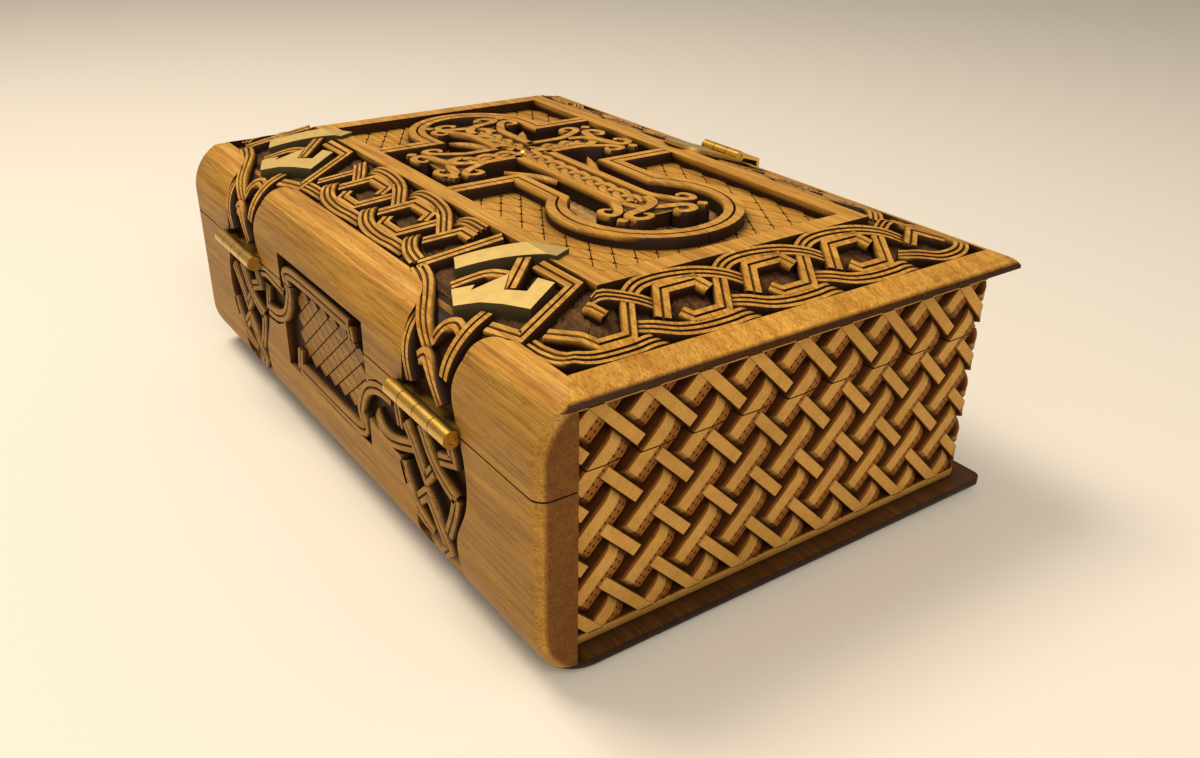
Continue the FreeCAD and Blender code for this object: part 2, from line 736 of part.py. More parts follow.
def build():
    nodes = {}
    straps = {"tail": -strap_offset, "head": strap_offset}
    form = book_form(0, back_round).common(rounded_plan())
    skin = book_form(-inlay_rise)
    floor = book_form(recess_depth)

    carving = [chain_cut(), spine_panel_cut(), loop_cut(1), loop_cut(-1)] + panel_cuts()
    carving += [strap_cut(y) for y in straps.values()]
    for name, y in straps.items():
        nodes[name + "_arc_inlay"] = inlay(arc_inlay_plan(y), floor, skin)
        carving.append(nodes[name + "_arc_inlay"])
        nodes[name + "_zigzag_inlay"] = inlay(zigzag_inlay_plan(y), floor, skin)
    carved = form.cut(carving)
    carved = carved.cut(seam_groove(carved))

    front = carved.common(box(-far, far, -far, far, cover_under_z, far))
    spine_upper = carved.common(box(-far, spine_inner_x, -far, far, split_z, cover_under_z))
    spine_lower = carved.common(box(-far, spine_inner_x, -far, far, back_thickness, split_z))
    nodes["back_board"] = carved.common(box(-far, far, -far, far, -margin, back_thickness))

    screws = {0: [], 1: []}
    for name, y in straps.items():
        for upper, side in ((0, "lower"), (1, "upper")):
            nodes[name + "_hinge_leaf_" + side] = moved(hinge_leaf(upper), y)
            screws[upper] += [moved(one, y) for one in leaf_screws(upper, 0.0)]
        mortise = moved(leaf_plate(split_z - leaf_thickness, split_z + leaf_thickness), y)
        holes = [moved(one, y) for upper in (0, 1) for one in leaf_screws(upper, running_clearance)]
        room_length = hinge_length + 2 * knuckle_gap
        room_start = Vector(hinge_x, y - room_length / 2, split_z)
        room = cylinder(barrel_radius + swing_clearance, room_start, Vector(0, 1, 0), room_length)
        spine_upper = spine_upper.cut([mortise, room] + holes)
        spine_lower = spine_lower.cut([mortise, room] + holes)
        pin_length = hinge_length - 2 * pin_end_inset
        start = Vector(hinge_x, y - pin_length / 2, split_z)
        nodes[name + "_hinge_pin"] = cylinder(pin_radius, start, Vector(0, 1, 0), pin_length)
    nodes["hinge_screws_lower"] = Part.makeCompound(screws[0])
    nodes["hinge_screws_upper"] = Part.makeCompound(screws[1])
    nodes["spine_upper"] = spine_upper
    nodes["spine_lower"] = spine_lower

    nodes["clasp_stud"] = clasp_stud()
    openings = weave_cuts()
    for side, z_low, z_high in (("lower", back_thickness, split_z), ("upper", split_z, cover_under_z)):
        tail, head, fore = walls(z_low, z_high, openings)
        nodes["tail_wall_" + side] = tail
        nodes["head_wall_" + side] = head
        nodes["fore_edge_wall_" + side] = fore.cut(nodes["clasp_stud"])

    nodes["cross_stud"] = cross_stud()
    nodes["clasp_leaf"] = clasp_leaf()
    nodes["clasp_hasp"] = clasp_hasp()
    pin_length = clasp_length - 2 * pin_end_inset
    pin_start = Vector(clasp_axis[0], -pin_length / 2, clasp_axis[1])
    nodes["clasp_pin"] = cylinder(clasp_pin_radius, pin_start, Vector(0, 1, 0), pin_length)
    nodes["clasp_screws"] = Part.makeCompound([slope_frame(one) for one in clasp_screws(0.0)])
    holes = [slope_frame(one) for one in clasp_screws(running_clearance)]
    nodes["front_board"] = front.cut([nodes["cross_stud"]] + holes)
    return nodes


os.makedirs("parts", exist_ok=True)
for node, shape in build().items():
    shape.exportStep("parts/" + node + ".step")
    print(node, len(shape.Solids), round(shape.Volume / 1000, 2), shape.isValid())
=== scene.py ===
"""Looks of a carved wooden book box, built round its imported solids. Lengths below are millimetres."""
import bmesh
import bpy
import random
from math import asin, atan, ceil, cos, dist, hypot, pi, radians, sin, sqrt, tan
from mathutils import Matrix, Vector


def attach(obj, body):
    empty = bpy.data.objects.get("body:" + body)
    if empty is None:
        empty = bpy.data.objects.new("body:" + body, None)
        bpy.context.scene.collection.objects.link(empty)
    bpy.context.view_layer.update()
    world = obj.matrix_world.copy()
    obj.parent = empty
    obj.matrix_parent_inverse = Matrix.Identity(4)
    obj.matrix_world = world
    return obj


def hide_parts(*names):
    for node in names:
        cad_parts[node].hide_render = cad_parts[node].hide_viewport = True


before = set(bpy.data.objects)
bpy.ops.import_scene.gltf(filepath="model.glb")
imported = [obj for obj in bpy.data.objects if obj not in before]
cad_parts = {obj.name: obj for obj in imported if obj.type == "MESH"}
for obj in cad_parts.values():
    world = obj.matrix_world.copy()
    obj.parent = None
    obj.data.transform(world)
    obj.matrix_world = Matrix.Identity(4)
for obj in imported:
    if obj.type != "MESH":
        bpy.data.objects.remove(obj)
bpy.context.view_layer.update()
scene = bpy.context.scene
MM = 0.001

# The book form, with the same values as the solids
HALF_W = 85.0
TOP_Z = 90.0
UNDER_Z = 77.5
SPLIT_Z = 56.5
BACK_Z = 5.0
FRAME_SPINE_X = -46.5
FRAME_FORE_X = 52.0
FRAME_HALF_Y = 92.0
BORDER_DROP = 10.5
BORDER_RUN = 33.0
SLOPE = atan(BORDER_DROP / BORDER_RUN)
COS = cos(SLOPE)
SIN = sin(SLOPE)
SPINE_ROUND = 18.0
ROUND_X = -HALF_W + SPINE_ROUND
ROUND_Z = TOP_Z - (FRAME_SPINE_X - ROUND_X) * tan(SLOPE) - SPINE_ROUND / COS
SLOPE_LENGTH = (FRAME_SPINE_X - ROUND_X + SPINE_ROUND * SIN) / COS
CHAIN_SPINE_X = -71.5
RECESS = 3.2
PANEL_X = 2.75
PANEL_SPINE_X = -40.0
PANEL_FORE_X = 45.5
PANEL_HALF_Y = 85.5
PANEL_GROUND_Z = 86.0
NICHE_Z = 82.5
CROSSING_Y = 23.0
STRAP_STEP = 142.0
CARVED_HALF_Y = 118.0
# How far the carved pieces reach into what they stand on, and half the gap at the seam
BURIED = 0.25
SEAM_HALF = 0.2
# Pieces above and below the seam, and the body each rides on
LEVELS = (("upper", "lid"), ("lower", "base"))
# Corners sharper than this stay sharp, in degrees
SMOOTH_ANGLE = 38
UP = Vector((0, 0, 1))
# Sloping borders of the cover: direction in plan, and how far out that way the slope begins
BORDERS = ((1, 0, FRAME_FORE_X), (-1, 0, -FRAME_SPINE_X), (0, 1, FRAME_HALF_Y), (0, -1, FRAME_HALF_Y))


# Charts: each turns two surface coordinates into a point and an outward normal

def roof_chart(x, y):
    """Top of the cover, by plan position."""
    drops = [(x * i + y * j - edge, Vector((i * SIN, j * SIN, COS))) for i, j, edge in BORDERS]
    drop, normal = max([(0.0, UP)] + drops, key=lambda item: item[0])
    return Vector((x, y, TOP_Z - drop * tan(SLOPE))), normal


def spine_chart(y, s):
    """Spine side of the cover and the spine, by place along it and distance down from the frame's edge."""
    if s <= SLOPE_LENGTH:
        return Vector((FRAME_SPINE_X - s * COS, y, TOP_Z - s * SIN)), Vector((-SIN, 0, COS))
    turn = SLOPE + (s - SLOPE_LENGTH) / SPINE_ROUND
    if turn <= pi / 2:
        normal = Vector((-sin(turn), 0, cos(turn)))
        return Vector((ROUND_X, y, ROUND_Z)) + normal * SPINE_ROUND, normal
    z = ROUND_Z - (turn - pi / 2) * SPINE_ROUND
    if z >= SPINE_ROUND:
        return Vector((-HALF_W, y, z)), Vector((-1, 0, 0))
    turn = (SPINE_ROUND - z) / SPINE_ROUND
    normal = Vector((-cos(turn), 0, -sin(turn)))
    return Vector((ROUND_X, y, SPINE_ROUND)) + normal * SPINE_ROUND, normal


def level_chart(z):
    def chart(x, y):
        return Vector((x, y, z)), UP
    return chart


# Meshes

def spline(a, b, c, d, t):
    """Value between b and c of a smooth curve through four values."""
    square = (2 * a - 5 * b + 4 * c - d) * t * t
    cube = (3 * b - a - 3 * c + d) * t ** 3
    return 0.5 * (2 * b + (c - a) * t + square + cube)


def catmull(points, step):
    """Smooth path through points of any dimension."""
    out = []
    for i in range(len(points) - 1):
        p0 = points[max(i - 1, 0)]
        p1 = points[i]
        p2 = points[i + 1]
        p3 = points[min(i + 2, len(points) - 1)]
        count = max(2, ceil(dist(p1[:2], p2[:2]) / step))
        for k in range(count):
            out.append(tuple(spline(*values, k / count) for values in zip(p0, p1, p2, p3)))
    out.append(points[-1])
    return out


def straight(points, step):
    out = []
    for p, q in zip(points, points[1:]):
        count = max(1, ceil(dist(p[:2], q[:2]) / step))
        out += [tuple(a + (b - a) * k / count for a, b in zip(p, q)) for k in range(count)]
    out.append(points[-1])
    return out


def ridge_profile(width, ridges, groove):
    """Half-open section of a carved strand: (across, height), with None for the foot."""
    half = width / 2
    bevel = 0.3
    open_half = 0.42
    shut_half = 0.12
    section = [(-half, None), (-half, -2 * bevel), (-half + bevel, 0.0)]
    for i in range(1, ridges):
        middle = -half + width * i / ridges
        section += [(middle - open_half, 0.0), (middle - shut_half, -groove), (middle + shut_half, -groove),
                    (middle + open_half, 0.0)]
    return section + [(half - bevel, 0.0), (half, -2 * bevel), (half, None)]


def round_profile(width, rise):
    """Section of a rounded strand."""
    half = width / 2
    section = [(-half, None), (-half, -rise)]
    steps = 6
    for k in range(1, steps):
        angle = pi * k / steps
        section.append((-half * cos(angle), rise * (sin(angle) - 1)))
    return section + [(half, -rise), (half, None)]


def tube(rings, n):
    """Faces of a closed tube through rings of n points each."""
    faces = []
    for start in range(0, (rings - 1) * n, n):
        for k in range(n):
            nxt = (k + 1) % n
            faces.append((start + k, start + nxt, start + n + nxt, start + n + k))
    last = (rings - 1) * n
    return faces + [tuple(range(n - 1, -1, -1)), tuple(range(last, last + n))]


# Least cosine at which a strand's corner is still mitred to a point
LEAST_MITRE = 0.4


def sweep(chart, path, section, foot):
    """Closed solid swept along path, a list of (a, b, height) or (a, b, height, width factor), on a chart."""
    verts = []
    cuts = []
    for i, (a, b, height, *widen) in enumerate(path):
        before = path[max(i - 1, 0)]
        after = path[min(i + 1, len(path) - 1)]
        sides = []
        for p, q in ((before, path[i]), (path[i], after)):
            run = Vector((q[0] - p[0], q[1] - p[1]))
            if run.length > 1e-6:
                run.normalize()
                sides.append(Vector((-run.y, run.x)))
        side = (sides[0] + sides[-1]).normalized()
        side *= (widen[0] if widen else 1.0) / max(side.dot(sides[0]), LEAST_MITRE)
        for across, rise in section:
            point, normal = chart(a + side.x * across, b + side.y * across)
            verts.append(point + normal * (foot if rise is None else height + rise))
            cuts.append(-foot if rise is None else -rise)
    return verts, tube(len(path), len(section)), cuts


def with_height(points):
    """Points as (a, b, height), with height 0 where none is given."""
    return [p if len(p) == 3 else (p[0], p[1], 0.0) for p in points]


def strand(chart, points, width=4.4, ridges=2, curved=True, foot=-RECESS - BURIED, groove=0.7, step=1.4):
    """Carved strand through points, with grooves between its ridges."""
    points = with_height(points)
    path = catmull(points, step) if curved else straight(points, step)
    return sweep(chart, path, ridge_profile(width, ridges, groove), foot)


def strands(chart, pieces, move=lambda a, b: (a, b)):
    """Strands of pieces, each of points and then a strand's form, with every point moved on the chart."""
    shells = []
    for points, *form in pieces:
        moved = [(*move(a, b), height) for a, b, height in with_height(points)]
        shells.append(strand(chart, moved, *form))
    return shells


def cut_shell(shell, planes):
    """Keeps the part of a closed shell on the positive side of each plane and closes the cuts."""
    bm = bmesh.new()
    layer = bm.verts.layers.float.new("cut")
    made = [bm.verts.new(v) for v in shell[0]]
    for vert, cut in zip(made, shell[2]):
        vert[layer] = cut
    for face in shell[1]:
        bm.faces.new([made[k] for k in face])
    for point, normal in planes:
        every = bm.verts[:] + bm.edges[:] + bm.faces[:]
        bmesh.ops.bisect_plane(bm, geom=every, dist=1e-5, plane_co=point, plane_no=normal, clear_inner=True)
        rim = [e for e in bm.edges if len(e.link_faces) == 1]
        bmesh.ops.holes_fill(bm, edges=rim, sides=0)
    bm.verts.index_update()
    verts = [v.co.copy() for v in bm.verts]
    faces = [tuple(v.index for v in f.verts) for f in bm.faces]
    cuts = [v[layer] for v in bm.verts]
    bm.free()
    return verts, faces, cuts


def seam_halves(shell):
    """A shell cut at the seam between lid and base: (upper, lower)."""
    heights = [v.z for v in shell[0]]
    if min(heights) >= SPLIT_Z:
        return shell, None
    if max(heights) <= SPLIT_Z:
        return None, shell
    upper = cut_shell(shell, [(UP * (SPLIT_Z + SEAM_HALF), UP)])
    lower = cut_shell(shell, [(UP * (SPLIT_Z - SEAM_HALF), -UP)])
    return (upper if upper[0] else None), (lower if lower[0] else None)


def linked(name, data):
    obj = bpy.data.objects.new(name, data)
    scene.collection.objects.link(obj)
    return obj


def store(mesh, name, kind, values):
    """Gives a mesh a value for each point or face."""
    mesh.attributes.new(name, "FLOAT", kind)
    mesh.attributes[name].data.foreach_set("value", values)


def make(name, shells, body, material, replaced=None):
    """One object from closed shells, riding on a body."""
    verts = []
    faces = []
    cuts = []
    for shell_verts, shell_faces, shell_cuts in shells:
        start = len(verts)
        verts += [Vector(v) * MM for v in shell_verts]
        faces += [tuple(k + start for k in face) for face in shell_faces]
        cuts += shell_cuts
    mesh = bpy.data.meshes.new(name)
    mesh.from_pydata(verts, [], faces)
    store(mesh, "cut", "POINT", cuts)
    bm = bmesh.new()
    bm.from_mesh(mesh)
    bmesh.ops.recalc_face_normals(bm, faces=bm.faces[:])
    bm.to_mesh(mesh)
    bm.free()
    mesh.polygons.foreach_set("use_smooth", [True] * len(mesh.polygons))
    mesh.set_sharp_from_angle(angle=radians(SMOOTH_ANGLE))
    mesh.materials.append(material)
    obj = linked(name, mesh)
    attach(obj, body)
    if replaced:
        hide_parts(replaced)
    return obj


def make_split(name, shells, material):
    """Two objects, above and below the seam."""
    halves = zip(*[seam_halves(shell) for shell in shells])
    for (level, body), half in zip(LEVELS, halves):
        make(name + "_" + level, [shell for shell in half if shell], body, material)


def stipple(chart, rows, level, rough, foot, seed, keep=None):
    """Closed sheet with a punched top. rows holds lists of (a, b), all of one length."""
    rng = random.Random(seed)
    width = len(rows[0])
    top = []
    under = []
    for row in rows:
        for a, b in row:
            point, normal = chart(a, b)
            top.append(point + normal * (level + rng.uniform(-rough, rough)))
            under.append(point + normal * foot)
    verts = top + under
    count = len(top)
    cells = []
    for i in range(len(rows) - 1):
        for k in range(width - 1):
            if keep is None or keep(*rows[i][k]):
                first = i * width + k
                cells.append([first, first + 1, first + width + 1, first + width])
    edges = {}
    faces = []
    for cell in cells:
        faces.append(tuple(cell))
        faces.append(tuple(count + k for k in reversed(cell)))
        edges.update(dict.fromkeys(zip(cell, cell[1:] + cell[:1])))
    faces += [(q, p, p + count, q + count) for p, q in edges if (q, p) not in edges]
    used = sorted({k for face in faces for k in face})
    renamed = {k: i for i, k in enumerate(used)}
    kept_faces = [tuple(renamed[k] for k in face) for face in faces]
    return [verts[k] for k in used], kept_faces, [0.0] * len(used)


# Materials

BLACK = (0, 0, 0)
WHITE = (1, 1, 1)
# Scales of the noises, per metre, drawn out along the boards
BAND_SCALE = (430, 13, 430)
FIBRE_SCALE = (1900, 50, 1900)
PORE_SCALE = (1500, 260, 1500)
PATCH_SCALE = (26, 9, 26)
BRUSH_SCALE = (900, 160, 900)
TARNISH_SCALE = (260, 260, 260)
# How strongly fibres and pores show, and how gently end grain begins
FIBRE_WEIGHT = 0.95
WEAVE_FIBRE_WEIGHT = 0.4
PORE_WEIGHT = 0.55
END_BLEND = 0.15
# Depths between which wood turns dark, partly as dark stain and partly as painted shade: on strands, on the
# weave, and into and out of a solid's recesses
STRAND_CUT = (0.3, 1.7)
WEAVE_CUT = (0.7, 1.3)
RECESS_BEGINS = (0.8, 2.2)
RECESS_ENDS = (8.5, 10.0)
LEVEL_NORMAL = 0.985
# Punched dots of the weave: spacing along and across a bar, distance from its flat, squared size
DOT_STEP = 2.1
DOT_ROW = 1.8
DOT_MARGIN = 0.8
DOT_FULL = 0.10
DOT_END = 0.22
# Burnt brown and painted shade of the weave's shoulders, and painted shade of its openings
SHOULDER_BURN_AND_SHADE = (0.44, 0.26, 0.07, 1)
OPENING_SHADE = (0.06, 0.015, 0.001, 1)


def new_material(name):
    material = bpy.data.materials.new(name)
    material.use_nodes = True
    tree = material.node_tree
    return material, tree, tree.nodes["Principled BSDF"]


def feed(made, inputs):
    """Links a node's inputs to other nodes' outputs, or sets them to constants."""
    for key, value in inputs.items():
        if hasattr(value, "node"):
            made.id_data.links.new(value, made.inputs[key])
        else:
            made.inputs[key].default_value = value


def node(kind, inputs, tree=None, **values):
    """New node with its settings, in a tree or else in the tree that its inputs come from."""
    tree = tree or next(value.id_data for value in inputs.values() if hasattr(value, "node"))
    made = tree.nodes.new(kind)
    for key, value in values.items():
        setattr(made, key, value)
    feed(made, inputs)
    return made


def coordinates(tree, kind):
    return node("ShaderNodeTexCoord", {}, tree).outputs[kind]


def ramp(source, stops):
    made = node("ShaderNodeValToRGB", {"Fac": source})
    elements = made.color_ramp.elements
    while len(elements) < len(stops):
        elements.new(0.5)
    for element, (place, colour) in zip(elements, stops):
        element.position = place
        element.color = colour if len(colour) == 4 else (*colour, 1)
    return made.outputs["Color"]


def stretched_noise(coords, scale, detail):
    mapping = node("ShaderNodeMapping", {"Vector": coords, "Scale": scale})
    place = mapping.outputs["Vector"]
    inputs = {"Vector": place, "Scale": 1.0, "Detail": detail, "Roughness": 0.6}
    return node("ShaderNodeTexNoise", inputs).outputs["Fac"]


def mixed(kind, first, second, factor=1.0):
    # The colours come after the inputs for plain values and vectors
    inputs = {0: factor, 6: first, 7: second}
    return node("ShaderNodeMix", inputs, data_type="RGBA", blend_type=kind).outputs[2]


def map_range(source, reads=(0.0, 1.0), gives=(0.0, 1.0)):
    """A value between two limits, moved to between two others."""
    inputs = {"Value": source, "From Min": reads[0], "From Max": reads[1],
              "To Min": gives[0], "To Max": gives[1]}
    return node("ShaderNodeMapRange", inputs).outputs["Result"]


def calc(kind, *values):
    return node("ShaderNodeMath", dict(enumerate(values)), operation=kind).outputs["Value"]


def along(place, direction):
    """Distance of a place along a fixed direction."""
    inputs = {0: place, 1: direction}
    return node("ShaderNodeVectorMath", inputs, operation="DOT_PRODUCT").outputs["Value"]


def stored(tree, name):
    """Value that a mesh carries under a name."""
    return node("ShaderNodeAttribute", {}, tree, attribute_name=name).outputs["Fac"]


def facing(tree, axis):
    """Part of the surface's normal along one axis."""
    return node("ShaderNodeSeparateXYZ", {"Vector": coordinates(tree, "Normal")}).outputs[axis]


def openness(tree, reach, shut, clear):
    """From 0 in corners to 1 on open surfaces, as seen within reach."""
    shade = node("ShaderNodeAmbientOcclusion", {"Distance": reach}, tree, samples=6)
    return ramp(shade.outputs["AO"], [(shut, BLACK), (clear, WHITE)])


def toned(colour, factor=1.0):
    """Opaque colour, darker or lighter by a factor."""
    return (*(c * factor for c in colour), 1)


def join_surface(shader, colour, texture, roughness, strength, height):
    """Joins colour, roughness between two limits by a texture, and the texture's fine relief to a shader."""
    bump = node("ShaderNodeBump", {"Height": texture, "Strength": strength, "Distance": height})
    rough = map_range(texture, gives=roughness)
    feed(shader, {"Base Color": colour, "Roughness": rough, "Normal": bump.outputs["Normal"]})


def carved_depth(coords):
    """Distance below the outside of the closed book, over the cover and round the spine."""
    scaled = node("ShaderNodeVectorMath", {0: coords, "Scale": 1 / MM}, operation="SCALE")
    place = scaled.outputs["Vector"]
    across = along(place, (1, 0, 0))
    height = along(place, (0, 0, 1))
    below = calc("SUBTRACT", TOP_Z, height)
    for i, j, edge in BORDERS:
        slope = calc("SUBTRACT", TOP_Z * COS + edge * SIN, along(place, (i * SIN, j * SIN, COS)))
        below = calc("MINIMUM", below, slope)
    out = calc("MAXIMUM", calc("SUBTRACT", ROUND_X, across), 0.0)
    over = calc("SUBTRACT", height, ROUND_Z)
    under = calc("SUBTRACT", SPINE_ROUND, height)
    off = calc("MAXIMUM", calc("MAXIMUM", over, under), 0.0)
    square = calc("ADD", calc("MULTIPLY", out, out), calc("MULTIPLY", off, off))
    inside = calc("SUBTRACT", SPINE_ROUND, calc("SQRT", square))
    beyond = calc("GREATER_THAN", along(place, (-COS, 0, -SIN)), -COS * ROUND_X - SIN * ROUND_Z)
    return calc("MULTIPLY_ADD", calc("SUBTRACT", inside, below), beyond, below)


def recess_stain_and_shade_mask(tree, coords):
    """1 on the walls and floors of a solid's carved recesses, 0 on its outside, ends, seam and inside."""
    depth = carved_depth(coords)
    begun = map_range(depth, RECESS_BEGINS)
    not_ended = map_range(depth, RECESS_ENDS, (1.0, 0.0))
    mask = calc("MULTIPLY", begun, not_ended)
    level = calc("ABSOLUTE", facing(tree, "Z"))
    from_middle = calc("ABSOLUTE", along(coords, (0, 1, 0)))
    for value, limit in ((level, LEVEL_NORMAL), (from_middle, CARVED_HALF_Y * MM)):
        mask = calc("MULTIPLY", mask, calc("LESS_THAN", value, limit))
    return mask


def wood(name, light, dark, hollow_stain_and_shade, roughness, coat=0.0, end_tone=WHITE, ends_from=0.8, reach=0.006,
         punched=False, solid=False):
    """Varnished wood: grain along the boards, darker end grain (on some woods darker still, as painted
    shade), and darker where the carver cut in, partly as dark stain and partly as painted shade.
    """
    material, tree, shader = new_material(name)
    coords = coordinates(tree, "Object")
    bands = stretched_noise(coords, BAND_SCALE, 4)
    fibres = stretched_noise(coords, FIBRE_SCALE, 3)
    pores = stretched_noise(coords, PORE_SCALE, 2)
    patches = stretched_noise(coords, PATCH_SCALE, 2)
    colour = ramp(bands, [(0.34, dark), (0.64, light)])
    fibre_tone = ramp(fibres, [(0.32, (0.58, 0.5, 0.4)), (0.58, WHITE)])
    colour = mixed("MULTIPLY", colour, fibre_tone, WEAVE_FIBRE_WEIGHT if punched else FIBRE_WEIGHT)
    pore_tone = ramp(pores, [(0.3, (0.5, 0.42, 0.34)), (0.4, WHITE)])
    colour = mixed("MULTIPLY", colour, pore_tone, PORE_WEIGHT)
    patch_tone = ramp(patches, [(0.3, (0.84, 0.8, 0.74)), (0.7, (1.08, 1.05, 1.0))])
    colour = mixed("MULTIPLY", colour, patch_tone)

    endways = calc("ABSOLUTE", facing(tree, "Y"))
    ends = ramp(endways, [(ends_from, BLACK), (ends_from + END_BLEND, WHITE)])
    end_colour = mixed("MULTIPLY", colour, toned(end_tone))
    colour = mixed("MIX", colour, end_colour, ends)

    if punched:
        dots, shoulder, deep = weave_marks(tree)
        # Burnt brown and painted shade on the shoulders and the sloped bar ends
        brown = mixed("MULTIPLY", colour, SHOULDER_BURN_AND_SHADE)
        colour = mixed("MIX", colour, brown, shoulder)
        # Painted shade: the deep openings between the bars take a near-black colour
        colour = mixed("MIX", colour, OPENING_SHADE, deep)
        colour = mixed("MIX", colour, toned(hollow_stain_and_shade, 0.3), dots)
    elif solid:
        # Painted shade, with some dark stain: the walls and floors of the solid's carved recesses take a
        # darkened hollow colour
        colour = mixed("MIX", colour, toned(hollow_stain_and_shade, 2), recess_stain_and_shade_mask(tree, coords))
    else:
        # Painted shade, with some dark stain: the sides and grooves of carved pieces darken with depth below
        # their tops
        cut = map_range(stored(tree, "cut"), STRAND_CUT)
        colour = mixed("MIX", colour, toned(hollow_stain_and_shade), cut)

    # Painted shade, with some dark stain: the hollow colour goes into the corners and recesses that ambient
    # occlusion finds
    colour = mixed("MIX", toned(hollow_stain_and_shade), colour, openness(tree, reach, 0.35, 0.94))
    join_surface(shader, colour, fibres, (roughness - 0.06, roughness + 0.12), 0.3, 0.0001)
    feed(shader, {"Coat Weight": coat, "Coat Roughness": 0.3, "Specular IOR Level": 0.14})
    return material


def weave_marks(tree):
    """Masks for the weave: punched dots, the shoulders that carry them (burnt brown and painted shade), and
    the deep openings (painted shade).
    """
    cut = stored(tree, "cut")
    facet = stored(tree, "facet")
    ground = ramp(stored(tree, "sunk"), [(0.6, BLACK), (0.85, WHITE)])
    deep = mixed("LIGHTEN", ground, map_range(cut, WEAVE_CUT))
    carved = ramp(stored(tree, "plain"), [(0.0, WHITE), (1.0, BLACK)])
    deep = mixed("MULTIPLY", deep, carved)
    sloped = ramp(cut, [(0.0, BLACK), (0.04, (0.8, 0.8, 0.8)), (0.6, WHITE)])
    shoulder = mixed("LIGHTEN", facet, sloped)
    holed = ramp(cut, [(0.02, BLACK), (0.05, WHITE), (0.6, WHITE), (0.7, BLACK)])
    punched = mixed("LIGHTEN", facet, holed)
    beyond_flat = calc("GREATER_THAN", stored(tree, "across"), -DOT_MARGIN)
    punched = mixed("MULTIPLY", punched, beyond_flat)
    squares = []
    for name, pitch in (("along", DOT_STEP), ("across", DOT_ROW)):
        from_dot = calc("PINGPONG", stored(tree, name), pitch / 2)
        squares.append(calc("POWER", from_dot, 2.0))
    spots = ramp(calc("ADD", *squares), [(DOT_FULL, WHITE), (DOT_END, BLACK)])
    return mixed("MULTIPLY", spots, punched), shoulder, deep


def brass(name, colour, roughness, inlaid=False):
    """Worn brass with fine brushing and patches of tarnish, darker in the corners and on the sides of an
    inlay as painted shade.
    """
    material, tree, shader = new_material(name)
    coords = coordinates(tree, "Object")
    brushed = stretched_noise(coords, BRUSH_SCALE, 3)
    spots = stretched_noise(coords, TARNISH_SCALE, 4)
    tint = ramp(spots, [(0.35, toned(colour, 0.88)), (0.6, colour)])
    # Painted shade in the corners that ambient occlusion finds
    tint = mixed("MIX", toned(colour, 0.3), tint, openness(tree, 0.002, 0.3, 0.8))
    if inlaid:
        # Painted shade on the sides of an inlay, which face away from the top
        side = ramp(facing(tree, "Z"), [(0.6, WHITE), (0.85, BLACK)])
        tint = mixed("MIX", tint, toned(colour, 0.12), side)
    join_surface(shader, tint, brushed, (roughness - 0.06, roughness + 0.1), 0.12, 0.00005)
    feed(shader, {"Metallic": 0.6 if inlaid else 1.0})
    return material


# The cover's end faces are made much darker, partly as end grain and partly as painted shade
COVER_TONES = {"light": (0.66, 0.355, 0.065), "dark": (0.46, 0.21, 0.028), "hollow_stain_and_shade": (0.016, 0.005, 0.001),
               "roughness": 0.52, "coat": 0.04, "end_tone": (0.08, 0.05, 0.02), "ends_from": 0.6}
SPINE_TONES = {"light": (0.43, 0.229, 0.039), "dark": (0.335, 0.166, 0.024), "hollow_stain_and_shade": (0.02, 0.007, 0.002),
               "roughness": 0.48, "coat": 0.05, "end_tone": (0.36, 0.26, 0.14)}
COVER_WOOD = wood("carved_wood", **COVER_TONES)
SPINE_WOOD = wood("carved_spine_wood", **SPINE_TONES)
BOARD_WOOD = wood("board_wood", **COVER_TONES, solid=True)
ROUND_WOOD = wood("spine_wood", **SPINE_TONES, solid=True)
BLOCK_WOOD = wood("block_wood", (0.50, 0.278, 0.068), (0.43, 0.226, 0.048), (0.035, 0.011, 0.002), 0.62,
                  reach=0.004, punched=True)
# Punched ground, dark partly as stain and partly as painted shade
GROUND_WOOD = wood("punched_ground", (0.20, 0.10, 0.03), (0.08, 0.035, 0.008), (0.008, 0.002, 0.001), 0.7,
                   reach=0.008)
NICHE_WOOD = wood("niche_ground", (0.56, 0.33, 0.12), (0.30, 0.16, 0.05), (0.02, 0.008, 0.002), 0.6,
                  reach=0.004)
# Dark wood, made near black all over as painted shadow, with its end faces darker still as painted shade
SHADED_BACK_WOOD = wood("shaded_back_wood", (0.11, 0.046, 0.012), (0.07, 0.028, 0.007), (0.012, 0.005, 0.002), 0.5,
                 end_tone=(0.2, 0.15, 0.1), ends_from=0.6)
BRASS = brass("brass", (0.70, 0.42, 0.085), 0.32)
INLAY = brass("brass_inlay", (0.61, 0.42, 0.13), 0.48, inlaid=True)


def on_cover(name, shells, material=COVER_WOOD):
    """Carving of the cover, riding on the lid."""
    make(name, shells, "lid", material)


node_materials = {"front_board": BOARD_WOOD, "back_board": SHADED_BACK_WOOD, "spine_upper": ROUND_WOOD,
                  "spine_lower": ROUND_WOOD}
for name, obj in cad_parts.items():
    material = node_materials.get(name, INLAY if "inlay" in name else BRASS)
    obj.data.materials.clear()
    obj.data.materials.append(BLOCK_WOOD if "wall" in name else material)
    if name in node_materials:
        weld = obj.modifiers.new("weld", "WELD")
        weld.merge_threshold = 0.002 * MM
        bevel = obj.modifiers.new("soft_edges", "BEVEL")
        bevel.width = 0.35 * MM
        bevel.segments = 2
        bevel.limit_method = "ANGLE"
        bevel.angle_limit = radians(40)


# Interlaced chain of the borders: u runs along the border, d down from the frame's edge.
# A piece has points, (u, d) or (u, d, height), then a width, a number of ridges, and False for straight runs.

